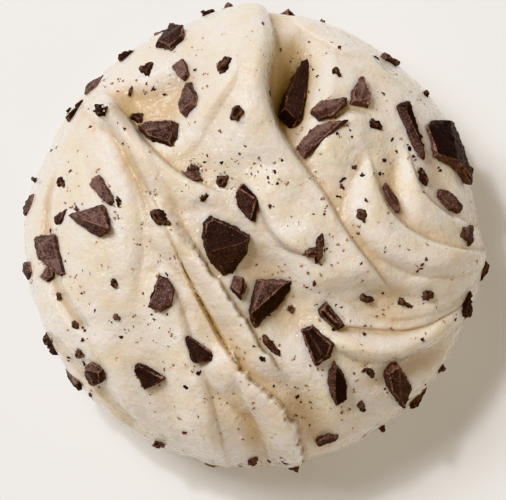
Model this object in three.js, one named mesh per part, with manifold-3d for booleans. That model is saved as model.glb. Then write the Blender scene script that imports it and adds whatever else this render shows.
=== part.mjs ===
// A helping of stracciatella gelato: one mound of soft, folded gelato that
// stands on a flat foot, with broken pieces of dark chocolate set into it.
//
// Millimetres, +Z up, the flat foot on z = 0 and the middle of the mound on
// the Z axis. The folds are drawn on the mound's skin as if it were unrolled
// flat: a point of the skin lies at (x, y), whose distance from the origin is
// the way down the skin from the top's centre. Over the top that is nearly the
// same as the plan seen from above.
import * as THREE from 'three';
import { ConvexGeometry } from 'three/addons/geometries/ConvexGeometry.js';
import { mergeVertices } from 'three/addons/utils/BufferGeometryUtils.js';
import Module from 'manifold-3d';

const wasm = await Module();
wasm.setup();

// ---- Driving dimensions of the mound -------------------------------------
const mound = {
  radius: 48, // at its widest line, without the layers on the flank
  waist: 12, // height of the widest line
  shoulder: 20, // rise from the widest line to the rim of the top
  roundness: 3.5, // of the shoulder: 2 is a dome, more is squarer
  dome: 4.5, // extra rise of the top's centre
  tuck: 5, // how far the foot lies inside the widest line
  footTurn: 62, // degrees that the skin turns under towards the foot
};
const skinCells = 54; // grid cells across the skin
const leastSide = 2.7; // a lip is no narrower than a grid cell can show
const topShare = 0.85; // share of the skin over which the grid rings are spread evenly
const crowd = 5; // how late the rest of the skin widens the rings
const gap = 0.4; // between a chocolate piece and its seat
const embed = 1.6; // depth of a chocolate piece under the skin, unless it says more

// ---- The folds -------------------------------------------------------------
// A stroke is a ridge (or a crease, where its rise is negative) along a route.
// Each side has a width and a bluntness: under 1 is a steep lip, over 1 a soft
// slope; four numbers give both at the route's start and at its end. Left and
// right are as seen when walking along the route, and where `foot` names a
// side, the route marks the foot of that side's lip. The rise and the sides
// change along the way, over the stretch given by `change`. `fades` are the
// lengths over which the stroke comes up and dies away. The strokes marked
// `eastOnly` lie beyond the centre fold and end at its lip.
const centreRoute = [[3.6, 58], [4.6, 42], [3.7, 34], [5.3, 26], [11.4, 15.2], [15.6, 9.3],
  [20, 1.8], [26, -6], [33, -13.5]];
const creaseRoute = [[-31, 25.5], [-27, 19], [-24, 13], [-20.8, 6.5], [-17.5, -1], [-13.3, -10],
  [-9.5, -17], [-6.5, -22.5], [-3.2, -27.8]];
const strokes = [
  // the tall centre fold, whose lip hangs over the deep hollow
  { route: centreRoute,
    rise: [7.8, 2.8], change: [0.25, 0.6], left: [3.6, 0.5, 1, 0.5], right: [18, 1.8],
    foot: 'left', fades: [0, 12] },
  // rim of the deep hollow at the upper right
  { route: [[8, 56], [11.5, 50], [15, 46.5], [20, 43], [27, 41]], eastOnly: true,
    rise: [1.4, 1.4], left: [9, 1.8], right: [1.4, 0.6], foot: 'right', fades: [4, 9] },
  // brow of the right lobe
  { route: [[11, 17], [15.2, 22.8], [19, 26.6], [22.6, 28.4], [28, 27]], eastOnly: true,
    rise: [2.6, 2.6], left: [1.5, 0.55], right: [10, 1.8], foot: 'left', fades: [6, 7] },
  // lip of the right lobe, which curls out to the right
  { route: [[25, 21], [26, 17.6], [26.6, 14.2], [27.8, 10.5], [30, 6.4], [33.5, 2.8], [38, 0.2],
      [44, -1.6], [52, -2.5], [62, -3]], eastOnly: true,
    rise: [2.6, 2], change: [0.1, 0.5], left: [1.2, 0.5], right: [12, 1.7], foot: 'left',
    fades: [6, 0] },
  // outer lip on the right
  { route: [[33.6, 24], [35.2, 18.4], [36.2, 13.8], [38.5, 9.6], [42, 6.8], [47, 4.8], [55, 3.5],
      [64, 3]], eastOnly: true,
    rise: [1.9, 1.5], change: [0.1, 0.6], left: [1.2, 0.5], right: [8, 1.7], foot: 'left',
    fades: [9, 0] },
  // bands that sweep out to the right under the lobe
  { route: [[20, 9], [25.5, 1.8], [31, -2.5], [37, -5], [43, -5.4], [52, -4.6], [64, -4]],
    eastOnly: true, rise: [2, 2], left: [7, 1.8], right: [3.2, 1], fades: [9, 0] },
  { route: [[31, -11], [37, -10.4], [43, -9.6], [50, -8], [60, -5]],
    rise: [0.9, 0.9], left: [3, 1.3], right: [4, 1.5], fades: [7, 0] },
  { route: [[18, -12], [24, -14.8], [31, -16.4], [39, -15.8], [48, -12.5], [58, -7]],
    rise: [0.5, 0.5], left: [4, 1.5], right: [1.6, 0.9], fades: [9, 0] },
  { route: [[11, -15.5], [16, -18.6], [22, -19.3], [28, -20], [34, -20.4], [41, -19], [49, -15.6],
      [60, -9]],
    rise: [1.2, 1.2], left: [8, 1.8], right: [1.2, 0.6], foot: 'right', fades: [10, 0] },
  { route: [[14, -20.5], [19, -22.6], [25, -24], [31, -24.3], [38, -23], [46, -19.6], [60, -12]],
    rise: [2.1, 2.1], left: [3.4, 1.3], right: [3.2, 0.9], fades: [9, 0] },
  // rounded toe of the centre fold
  { route: [[-5, 13], [-1, 9.6], [1.4, 6], [3.2, 1.9], [6.2, -1.6], [10.4, -3.8], [16, -5]],
    rise: [2.1, 2.1], left: [11, 1.8], right: [1.5, 0.6], foot: 'right', fades: [9, 9] },
  // soft crest on the slope left of the centre fold, and the drawn line beside it
  { route: [[-2.6, 42], [-6.3, 34.5], [-10.4, 28], [-13.6, 22], [-15.4, 17]],
    rise: [0.9, 0.9], left: [2.6, 1.1], right: [5, 1.6], fades: [9, 6] },
  { route: [[-0.5, 40], [-5.2, 31], [-8.6, 24], [-10.8, 17]],
    rise: [-0.4, -0.4], left: [4, 1.6], right: [2.6, 1.4], fades: [9, 6] },
  // rounded nose at the upper left, where the folds begin
  { route: [[-41, 35.5], [-37.6, 32.4], [-34.6, 29.8], [-31, 26], [-26, 19]],
    rise: [2.6, 2.6], left: [3.4, 0.9], right: [3.6, 1], fades: [4, 13] },
  // twisted edge, upper stretch: a thin lip over the upper left hollow
  { route: [[-35.5, 32], [-31.4, 30], [-27.8, 27], [-24.4, 22.4], [-20, 17.6], [-15.4, 14],
      [-9.5, 11.2], [-3, 9.4]],
    rise: [3, 1.9], left: [1, 0.5], right: [6, 1.7], foot: 'left', fades: [5, 9] },
  // rope of gelato right of the long crease
  { route: [[-35, 31], [-31, 27.2], [-27.2, 21.8], [-23.6, 15], [-20.6, 8], [-17.4, 1.5], [-14, -5]],
    rise: [1.4, 1.4], left: [3, 1.3], right: [2.2, 1], fades: [4, 12] },
  // the long crease itself: a fine line that opens into a cleft towards its end
  { route: creaseRoute,
    rise: [-0.4, -2.2], change: [0.5, 0.8], left: [0.35, 0.9, 0.5, 0.8], right: [0.6, 1.2, 0.8, 1.1],
    fades: [6, 4] },
  // two crests left of the long crease
  { route: [[-33.4, 26], [-29.8, 18.4], [-26.8, 11.4], [-24.4, 4], [-22.4, -4]],
    rise: [0.7, 0.7], left: [1.8, 1.1], right: [2.4, 1.3], fades: [5, 9] },
  { route: [[-38.4, 30.5], [-36, 26], [-33.3, 20.8], [-30.6, 14], [-28.4, 7], [-27.2, 0],
      [-27, -7], [-27.6, -15]],
    rise: [1.5, 1.5], left: [3.2, 1.2], right: [5, 1.6], fades: [5, 13] },
  // twisted edge, lower stretch: soft at first, then a lip over the valley
  { route: [[-20.5, 12.5], [-16.2, 5.2], [-12.9, -1], [-10, -5.4], [-7.1, -9.4], [-4.2, -13.7],
      [-0.4, -19.2], [2.4, -24.2], [5.6, -28], [9, -31.5]],
    rise: [2, 2.7], change: [0.1, 0.4], left: [4.5, 1.1, 0.7, 0.5], right: [5.5, 1.7],
    foot: 'left', fades: [11, 9] },
  // narrow crest between the lower left lobe and the tongue
  { route: [[-22, -6], [-19, -13], [-16.8, -19], [-14.6, -26], [-12.6, -32], [-11.2, -38],
      [-10, -46], [-9, -60]],
    rise: [2, 2], left: [2.6, 1], right: [8, 1.8], fades: [10, 0] },
  // tongue that runs out at the lower edge, with a scalloped lip and a shallow left side
  { route: [[-6.6, -21.4], [-3.6, -27], [-0.3, -30.3], [3, -33.4], [6.8, -36.8], [9.4, -41],
      [10.9, -45.5], [12.6, -53], [14, -64]],
    rise: [2.6, 3.8], change: [0.05, 0.3], left: [1, 0.5], right: [7, 1.2], foot: 'left',
    fades: [5, 0] },
  { route: [[-4.4, -28.5], [-3, -35], [-0.4, -41], [1.6, -46.5], [3.6, -62]],
    rise: [-1.2, -1.2], left: [1, 0.8], right: [3.4, 1.5], fades: [5, 0] },
  // creases along the left rim
  { route: [[-45, 20], [-48.5, 8], [-48.3, -2], [-45.6, -11], [-41, -17.8], [-36.5, -23.2]],
    rise: [-1.6, -1.6], left: [3, 1.3], right: [2.2, 1.1], fades: [12, 5] },
  { route: [[-52, -20], [-44, -28.5], [-38, -34.5], [-32.5, -41], [-27, -51]],
    rise: [-1.4, -1.4], left: [3.2, 1.3], right: [3, 1.2], fades: [9, 8] },
  { route: [[-35.6, -18], [-33.6, -24], [-31.6, -31], [-29.2, -38], [-26, -46]],
    rise: [0.8, 0.8], left: [4, 1.6], right: [3, 1.4], fades: [6, 8] },
];

// Rounded rises and hollows: centre, half length and half width, turn in
// degrees, and height (negative for a hollow).
const swells = [
  { at: [-36, 0], half: [12, 30], turn: 4, rise: 1.9 }, // left lobe
  { at: [-22, -32], half: [9, 22], turn: 18, rise: -1.1 }, // shelf below it
  { at: [-21, 29], half: [18, 9.5], turn: 35, rise: -3.6 }, // upper left hollow
  { at: [-27.6, 31.6], half: [7, 5], turn: -40, rise: -2.2 }, // pit beside the nose
  { at: [8.5, 33], half: [9, 21], turn: -17, rise: -6.2, eastOnly: true }, // deep hollow
  { at: [31.5, 13], half: [5, 12], turn: 12, rise: -1.4, eastOnly: true },
  { at: [42, 13], half: [6, 10], turn: 25, rise: -1.4, eastOnly: true },
  { at: [5, -12], half: [10, 21], turn: 35, rise: -3.4 }, // valley under the centre fold
  { at: [28, -16], half: [24, 10], turn: -8, rise: -3.8 },
  { at: [13, -41], half: [6, 17], turn: 25, rise: -2.2 },
  { at: [36, -29], half: [17, 5.5], turn: 20, rise: -2.4 },
  { at: [27, 44], half: [14, 8], turn: -30, rise: 1.4, eastOnly: true },
];

// Layers that wrap round the flank: the middle line as the way down the skin
// and how far it wanders, the steep lower edge and soft upper side, and the
// bearings in degrees between which the layer runs.
const layers = [
  { down: 61, wander: 2.5, waves: 3, phase: 0.4, rise: 2.3, steep: 4, soft: 12, from: 152, to: 382 },
  { down: 66, wander: 2.5, waves: 2, phase: 2.2, rise: 2.3, steep: 4, soft: 12, from: 355, to: 555 },
  { down: 72, wander: 2, waves: 3, phase: 3.4, rise: 1.8, steep: 4, soft: 9, from: 190, to: 340 },
  { down: 57, wander: 1.5, waves: 2, phase: 1.1, rise: 1, steep: 4, soft: 8, from: 60, to: 150 },
];
const layerFade = 30; // degrees

// ---- The chocolate ---------------------------------------------------------
// Outline corners in plan, anticlockwise, the rise of the broken face over the
// skin, and the fall of its two halves to either side of a crest, whose
// bearing is in degrees and which may lie to the left of the middle (aside).
// Pieces on the curved rim are set deeper (sink).
const chocolate = {
  slab: {
    corners: [[-9.4, 5.1], [-10.9, 3.9], [-11.3, 0.3], [-9.8, -4.6], [-6.4, -8.4],
      [-4, -7], [-1.3, -2.8], [-0.7, 0.5], [-3.8, 2.6]],
    rise: 3.6, crest: 14, fall: [0.16, 0.45], aside: -0.5 },
  wedge: { corners: [[9.2, -8.6], [0.6, -8.6], [-1.3, -15.6], [-1, -17.2], [0.3, -19.2], [5.2, -15]],
    rise: 4.2, crest: 41, fall: [0.25, 0.8], aside: 0.8 },
  block: { corners: [[-2.3, 11.8], [-3.5, 9.6], [-3, 6.8], [0.5, 3.5], [1.5, 8.8]],
    rise: 2, crest: 110, fall: [0.15, 0.3] },
  longFlake: {
    corners: [[11.8, 40], [9.8, 39], [6.2, 30.5], [5.1, 26.3], [7.9, 22.8], [9.7, 23.2], [12.5, 38.2]],
    rise: 3, crest: 79, fall: [0.1, 0.8], aside: -1.1 },
  forkArm: { corners: [[14.3, 29.7], [12.2, 27.2], [14, 25.2], [17, 26.2], [20.3, 28.9], [20.2, 30.5]],
    rise: 2, crest: 22, fall: [0.1, 0.5] },
  forkHead: { corners: [[23.4, 35], [21, 31.6], [20.9, 29.1], [24.7, 28.2], [25, 31]],
    rise: 2.2, crest: 75, fall: [0.3, 0.2] },
  curl: { corners: [[20.6, 25.6], [14, 24.6], [9, 19.2], [10.9, 17.2], [15.6, 22]],
    rise: 1.6, crest: 38, fall: [0.1, 0.35] },
  splinter: {
    corners: [[33.1, 30], [30.9, 28.9], [31.1, 28], [35, 19], [36.3, 17.1],
      [36.9, 17], [35.6, 22.4], [33.9, 28.2]],
    rise: 1.5, crest: 113, fall: [0.7, 0.1], aside: 0.3, sink: 2.2 },
  rimBlock: {
    corners: [[42.4, 25.4], [38.5, 26], [36.9, 24.8], [38.6, 17.6],
      [46.4, 11.6], [48, 12.8], [46, 19.5]],
    rise: 2.8, crest: 80, fall: [0.5, 0.15], aside: 2.3, sink: 3 },
  rimLeaf: { corners: [[41.9, 10.5], [40.2, 10.6], [39.3, 9.2], [42.2, 6.3], [44.7, 5.4], [45.3, 6.6]],
    rise: 1.4, crest: -38, fall: [0.1, 0.15] },
  spar: { corners: [[28.1, 12.2], [27.5, 10.9], [29, 8], [31.4, 5.3], [30.6, 8.4]],
    rise: 1.3, crest: 118, fall: [0.3, 0.3] },
  knuckle: {
    corners: [[12.8, -18.5], [10.2, -19.4], [11.2, -22.6], [13.5, -27.5], [16.6, -25.6], [17.4, -22.8]],
    rise: 3, crest: -60, fall: [0.2, 0.25] },
  pod: {
    corners: [[15.7, -13.4], [13.8, -15], [14.4, -16.8], [18.2, -19.8], [19.7, -18.6], [17.4, -15.6]],
    rise: 1.8, crest: -45, fall: [0.35, 0.35] },
  blade: {
    corners: [[17.5, -26.4], [16, -29], [16.3, -33], [17.9, -36],
      [20, -34.6], [20.2, -31], [18.9, -28.4]],
    rise: 2, crest: 92, fall: [0.6, 0.1], aside: 0.8 },
  lump: {
    corners: [[31.2, -26.9], [29.5, -26.8], [28.4, -28.8], [29.2, -33], [31.4, -35.6], [34, -31.6]],
    rise: 2.6, crest: 100, fall: [0.25, 0.25] },
  tooth: { corners: [[-2.4, -8.4], [-4.2, -8.1], [-5.2, -10.8], [-2.8, -13.5], [-1.9, -10.6]],
    rise: 1.6, crest: 80, fall: [0.3, 0.35] },
  lowerTriangle: {
    corners: [[-14.3, -20.7], [-15.3, -21.2], [-13.5, -26.7], [-8.6, -26.7], [-7.5, -25.6]],
    rise: 1.8, crest: -38, fall: [0.1, 0.04] },
  leftTriangle: { corners: [[-24.7, -26.6], [-25.9, -27.4], [-23.5, -32.9], [-18.4, -29.9]],
    rise: 1.8, crest: -25, fall: [0.05, 0.08] },
  arrow: { corners: [[-32.2, 7.3], [-39.7, 5.1], [-33.4, 0.2], [-31.4, 1], [-30.9, 3.4]],
    rise: 2.6, crest: -19, fall: [0.12, 0.6], aside: -0.3 },
  plank: {
    corners: [[-33.2, 13.9], [-34.6, 13], [-35, 11.9], [-32.4, 8.4],
      [-30.7, 7.1], [-30, 7.8], [-30.2, 9.3]],
    rise: 1.4, crest: 120, fall: [0.04, 0.06] },
  rimShard: { corners: [[-43, 1.2], [-46.8, 0.4], [-46.7, -3.6], [-40.8, -8.5], [-39.9, -7.8]],
    rise: 2.2, crest: 120, fall: [0.5, 0.4], sink: 2.6 },
  rimCrumb: { corners: [[-44.9, -5.8], [-46.1, -8.2], [-44.6, -9.6], [-43.4, -8.2], [-43.6, -6.6]],
    rise: 1.6, crest: 70, fall: [0.3, 0.3] },
  husk: {
    corners: [[-18.4, -8.4], [-20.5, -7.7], [-22.8, -14.7], [-20, -16], [-17.6, -14.4], [-16.9, -11]],
    rise: 1.6, crest: 70, fall: [0.08, 0.12] },
  bead: { corners: [[-35.6, -26.6], [-36.1, -29.4], [-34.4, -31.5], [-32.4, -31], [-32.6, -28.2]],
    rise: 2, crest: 110, fall: [0.3, 0.3] },
  prow: { corners: [[-16.2, 24.7], [-22, 24.5], [-24.9, 23.5], [-22, 20.9], [-17.6, 20], [-16.3, 21.6]],
    rise: 2.8, crest: 10, fall: [0.08, 0.6] },
  seed: {
    corners: [[-13.4, 34], [-14.7, 32.2], [-15.5, 27.2], [-14.6, 26.3], [-12.4, 28.6], [-11.8, 30.7]],
    rise: 1.8, crest: 75, fall: [0.3, 0.3] },
  kite: { corners: [[-17.4, 45], [-21.2, 41.4], [-18, 40.9], [-15, 43.2], [-15, 44.3]],
    rise: 1.6, crest: 38, fall: [0.25, 0.25], sink: 2.2 },
  chip: {
    corners: [[-15.3, 39.2], [-17.7, 37.4], [-16.6, 35.9], [-14.9, 34.1], [-13.7, 35.3], [-14.4, 38.2]],
    rise: 1.4, crest: 120, fall: [0.08, 0.1] },
};

// Pieces on the flank, spread round it by a rule.
const flankPieces = {
  count: 12, down: [57, 68], length: [6, 10], slender: [0.45, 0.75], rise: [0.6, 1.1],
};

// Small chips are one with the gelato. The plain ones lie where they show:
// centre, length, width and turn in degrees.
const chips = [
  { at: [-12.8, 14.2], size: [4.6, 3.6], turn: -25 },
  { at: [-23, 37], size: [3.8, 3], turn: 80 },
  { at: [-25.3, 26.4], size: [3.2, 2.6], turn: -20 },
  { at: [-32.7, 27.4], size: [3.2, 2.4], turn: -40 },
  { at: [-27, 32.4], size: [2.6, 1.6], turn: 80 },
  { at: [-3.4, 27], size: [3.4, 2.8], turn: 70 },
  { at: [-5.9, 37.1], size: [3.9, 2], turn: 60 },
  { at: [-39, 28.2], size: [6.6, 2.2], turn: 64 },
  { at: [-27.9, 39.6], size: [5, 1.6], turn: 32 },
  { at: [-9.6, 47.6], size: [4.2, 1.6], turn: 18 },
  { at: [-41.8, 12.2], size: [2.3, 2.2], turn: 0 },
  { at: [-41.7, 4.6], size: [4.2, 2.2], turn: 62 },
  { at: [-29.2, 8], size: [2.2, 1.2], turn: 95 },
  { at: [-20.4, 4.6], size: [3.9, 2], turn: -45 },
  { at: [-10.8, 8.8], size: [2.4, 1.7], turn: 10 },
  { at: [-6.8, 12.4], size: [2.6, 2.3], turn: 20 },
  { at: [-42.5, -12.8], size: [1.8, 1.5], turn: 0 },
  { at: [-39, -19.1], size: [2.2, 1.3], turn: -30 },
  { at: [-37.7, -25], size: [2.4, 1.8], turn: 0 },
  { at: [-43.4, -22.6], size: [6.4, 1.5], turn: -62 },
  { at: [-30.2, -9.6], size: [2.3, 1.2], turn: -65 },
  { at: [-29.6, -17], size: [1.3, 1.2], turn: 0 },
  { at: [-20.2, -43.6], size: [3.4, 2], turn: -10 },
  { at: [15.8, -43.8], size: [5.6, 3.2], turn: 8 },
  { at: [4, -23.3], size: [5.2, 2], turn: -50 },
  { at: [8.2, -15.2], size: [2.1, 1.6], turn: 15 },
  { at: [14.1, -2.3], size: [5.6, 1.7], turn: 82 },
  { at: [12.6, -3], size: [3.8, 1.9], turn: 8 },
  { at: [24.6, -13], size: [3.2, 1.5], turn: -18 },
  { at: [32.8, -14], size: [4, 1.2], turn: -32 },
  { at: [37.8, -12.2], size: [2.4, 1.5], turn: -10 },
  { at: [45.3, -14.2], size: [6.8, 3.6], turn: 66 },
  { at: [25.5, -29.1], size: [2.5, 1.4], turn: -60 },
  { at: [23.6, -36.6], size: [2.6, 1.6], turn: -55 },
  { at: [46.3, 1], size: [5.2, 4.2], turn: 60 },
  { at: [36.8, 13.3], size: [4.4, 1.2], turn: -66 },
  { at: [26.2, 24.6], size: [4, 1.5], turn: -38 },
  { at: [23.4, 4.9], size: [3, 2], turn: -60 },
  { at: [24.1, 8.2], size: [1.7, 1.1], turn: -35 },
  { at: [21.6, 15.4], size: [1.3, 1.1], turn: 20 },
  { at: [17.8, 36.3], size: [1.9, 1.2], turn: -40 },
];
const flankChips = { count: 14, down: [54, 72], length: [1.8, 4], slender: [0.45, 0.8] };
const chipReach = 0.56; // of a chip's corners from its centre, as a share of its length or width
const chipRise = 0.9;
const chipSink = 0.8;

// ---- Small helpers ---------------------------------------------------------
const degrees = Math.PI / 180;

const clamp = (value, low, high) => Math.min(Math.max(value, low), high);

// Rises smoothly from 0 to 1 while t goes from 0 to 1.
function ease(t) {
  const inside = clamp(t, 0, 1);
  return inside * inside * (3 - 2 * inside);
}

// A repeatable number between 0 and 1 for each whole number.
function draw(seed) {
  const value = Math.sin(seed * 78.233 + 12.9898) * 43758.5453;
  return value - Math.floor(value);
}

const between = ([low, high], share) => low + (high - low) * share;

// ---- The mound's plain profile ---------------------------------------------
// Rows from the top's centre to the foot, each with the way down the skin
// (down), the distance out from the axis (out) and the height (up).
function moundProfile() {
  const rows = [];
  const upperSteps = 240;
  const lowerSteps = 60;
  for (let i = 0; i <= upperSteps; i += 1) {
    const turn = (i / upperSteps) * 90 * degrees;
    const across = Math.sin(turn) / mound.radius;
    const along = Math.cos(turn) / mound.shoulder;
    const reach = (across ** mound.roundness + along ** mound.roundness) ** (-1 / mound.roundness);
    const out = reach * Math.sin(turn);
    const crown = mound.dome * (1 - (out / mound.radius) ** 2);
    rows.push({ out, up: mound.waist + reach * Math.cos(turn) + crown });
  }
  const lastTurn = mound.footTurn * degrees;
  for (let i = 1; i <= lowerSteps; i += 1) {
    const turn = (i / lowerSteps) * lastTurn;
    const inward = (1 - Math.cos(turn)) / (1 - Math.cos(lastTurn));
    const fallen = Math.sin(turn) / Math.sin(lastTurn);
    rows.push({ out: mound.radius - mound.tuck * inward, up: mound.waist * (1 - fallen) });
  }
  let down = 0;
  rows.forEach((row, i) => {
    const before = rows[Math.max(i - 1, 0)];
    down += Math.hypot(row.out - before.out, row.up - before.up);
    row.down = down;
  });
  return rows;
}

const profile = moundProfile();
const skinLength = profile[profile.length - 1].down;
const widestDown = profile[240].down;

// The profile's row at a place given by one of its columns, found by halving.
function profileAt(column, value) {
  let low = 0;
  let high = column === 'down' ? profile.length - 1 : 240;
  while (high - low > 1) {
    const middle = (low + high) >> 1;
    if (profile[middle][column] > value) high = middle;
    else low = middle;
  }
  const a = profile[low];
  const b = profile[high];
  const share = clamp((value - a[column]) / (b[column] - a[column]), 0, 1);
  const mix = (name) => a[name] + (b[name] - a[name]) * share;
  return { down: mix('down'), out: mix('out'), up: mix('up') };
}

// ---- Relief on the unrolled skin -------------------------------------------
// Turns a route into a function that gives, for a point of the skin, how far it
// lies to the left of the route and how far along the route's chord it is. The
// route bends smoothly through its points, and its ends run straight on.
function follow(route) {
  const start = new THREE.Vector2(...route[0]);
  const chord = new THREE.Vector2(...route[route.length - 1]).sub(start);
  const length = chord.length();
  const ahead = chord.clone().divideScalar(length);
  const knots = route.map(([x, y]) => {
    const way = new THREE.Vector2(x, y).sub(start);
    return { along: way.dot(ahead), aside: ahead.cross(way) };
  });
  const last = knots.length - 1;
  knots.forEach((knot, i) => {
    const a = knots[Math.max(i - 1, 0)];
    const b = knots[Math.min(i + 1, last)];
    const inner = i > 0 && i < last;
    const before = (knot.aside - a.aside) / (knot.along - a.along);
    const after = (b.aside - knot.aside) / (b.along - knot.along);
    const span = (b.along - a.along);
    const weight = (knot.along - a.along) / span;
    knot.slope = inner ? before * (1 - weight) + after * weight : (i === 0 ? after : before);
  });
  return (x, y) => {
    const along = (x - start.x) * ahead.x + (y - start.y) * ahead.y;
    const aside = ahead.x * (y - start.y) - ahead.y * (x - start.x);
    let i = 0;
    while (i < last - 1 && along > knots[i + 1].along) i += 1;
    const a = knots[i];
    const b = knots[i + 1];
    const span = b.along - a.along;
    const raw = (along - a.along) / span;
    const t = clamp(raw, 0, 1);
    const value = a.aside * (1 + 2 * t) * (1 - t) ** 2 + b.aside * t * t * (3 - 2 * t)
      + span * (a.slope * t * (1 - t) ** 2 + b.slope * t * t * (t - 1));
    const slope = (a.aside - b.aside) * (6 * t * t - 6 * t) / span
      + a.slope * (1 - 4 * t + 3 * t * t) + b.slope * (3 * t * t - 2 * t);
    const middle = value + slope * (raw - t) * span;
    return { left: (aside - middle) / Math.hypot(1, slope), along, length };
  };
}

strokes.forEach((stroke) => {
  stroke.place = follow(stroke.route);
});
const centreLine = follow(centreRoute);

// Share of a width that stays where a stroke fades out.
const faintWidth = 0.4;

function strokeHeight(stroke, x, y) {
  const place = stroke.place(x, y);
  const { along, length } = place;
  const [fadeIn, fadeOut] = stroke.fades;
  let strength = 1;
  if (fadeIn > 0) strength *= ease(along / fadeIn);
  if (fadeOut > 0) strength *= ease((length - along) / fadeOut);
  const [changeFrom, changeTo] = stroke.change ?? [0, 1];
  const share = ease((along / length - changeFrom) / (changeTo - changeFrom));
  const sideAt = ([width, bluntness, endWidth = width, endBluntness = bluntness]) => (
    [between([width, endWidth], share), between([bluntness, endBluntness], share)]);
  let { left } = place;
  if (stroke.foot) {
    const [lip] = sideAt(stroke[stroke.foot]);
    left += (stroke.foot === 'left' ? 0.5 : -0.5) * (lip + Math.max(lip, leastSide));
  }
  const [drawn, bluntness] = sideAt(left > 0 ? stroke.left : stroke.right);
  const width = Math.max(drawn, leastSide) * (faintWidth + (1 - faintWidth) * strength);
  const reach = clamp(Math.abs(left) / width, 0, 1);
  return between(stroke.rise, share) * strength * (1 - reach * reach) ** bluntness;
}

function swellHeight(swell, x, y) {
  const cos = Math.cos(swell.turn * degrees);
  const sin = Math.sin(swell.turn * degrees);
  const dx = x - swell.at[0];
  const dy = y - swell.at[1];
  const along = (cos * dx + sin * dy) / swell.half[0];
  const across = (cos * dy - sin * dx) / swell.half[1];
  return swell.rise * clamp(1 - along * along - across * across, 0, 1) ** 2.5;
}

// Height of all folds at a point of the skin. The folds marked eastOnly lie
// beyond the centre fold and end at its steep side.
function foldHeight(x, y) {
  const east = ease((centreLine(x, y).left + 1) / 1.4);
  let height = 0;
  strokes.forEach((stroke) => {
    height += strokeHeight(stroke, x, y) * (stroke.eastOnly ? east : 1);
  });
  swells.forEach((swell) => {
    height += swellHeight(swell, x, y) * (swell.eastOnly ? east : 1);
  });
  return height;
}

// How far the layers stand out of the flank.
function layerReach(down, bearing) {
  let reach = 0;
  layers.forEach((layer) => {
    const turned = ((bearing / degrees - layer.from) % 360 + 360) % 360;
    const strength = ease(turned / layerFade) * ease((layer.to - layer.from - turned) / layerFade);
    const line = layer.down + layer.wander * Math.sin(layer.waves * bearing + layer.phase);
    const below = down - line;
    const width = below > 0 ? layer.steep : layer.soft;
    const bluntness = below > 0 ? 0.8 : 1.8;
    const share = clamp(Math.abs(below) / width, 0, 1);
    reach += layer.rise * strength * (1 - share * share) ** bluntness;
  });
  return reach;
}

// The point of the folded skin at (x, y) of the unrolled skin. Folds lift it
// straight up over the top, and push it out a little on the flank.
const topReach = 30; // way down the skin where folds begin to push outwards
const rimReach = 44; // way down the skin where their lift begins to fade
const footCalm = 6; // stretch above the foot without any lift
const flankShare = 0.22; // part of a fold's height that shows on the flank
function skinPoint(x, y) {
  const down = Math.min(Math.hypot(x, y), skinLength);
  const bearing = Math.atan2(y, x);
  const base = profileAt('down', down);
  const fold = foldHeight(x, y);
  const toFoot = (down - widestDown) / (skinLength - widestDown);
  const upward = 1 - ease((down - rimReach) / (skinLength - rimReach - footCalm));
  const outward = flankShare * ease((down - topReach) / 20);
  const out = base.out + outward * fold + layerReach(down, bearing) * (1 - 0.5 * ease(toFoot));
  return new THREE.Vector3(out * Math.cos(bearing), out * Math.sin(bearing), base.up + upward * fold);
}

// The place on the unrolled skin of a point given in plan.
function unroll([x, y]) {
  const out = Math.hypot(x, y);
  const { down } = profileAt('out', Math.min(out, mound.radius - 0.05));
  return [x * down / out, y * down / out];
}

// ---- Solids ----------------------------------------------------------------
function toManifold(geometry) {
  const bare = geometry.clone();
  bare.deleteAttribute('normal');
  bare.deleteAttribute('uv');
  const merged = mergeVertices(bare, 1e-5);
  return new wasm.Manifold(new wasm.Mesh({
    numProp: 3,
    vertProperties: new Float32Array(merged.attributes.position.array),
    triVerts: new Uint32Array(merged.index.array),
  }));
}

function toGeometry(solid) {
  const { vertProperties, triVerts } = solid.getMesh();
  const geometry = new THREE.BufferGeometry();
  geometry.setAttribute('position', new THREE.BufferAttribute(new Float32Array(vertProperties), 3));
  geometry.setIndex(new THREE.BufferAttribute(new Uint32Array(triVerts), 1));
  return geometry;
}

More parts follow.
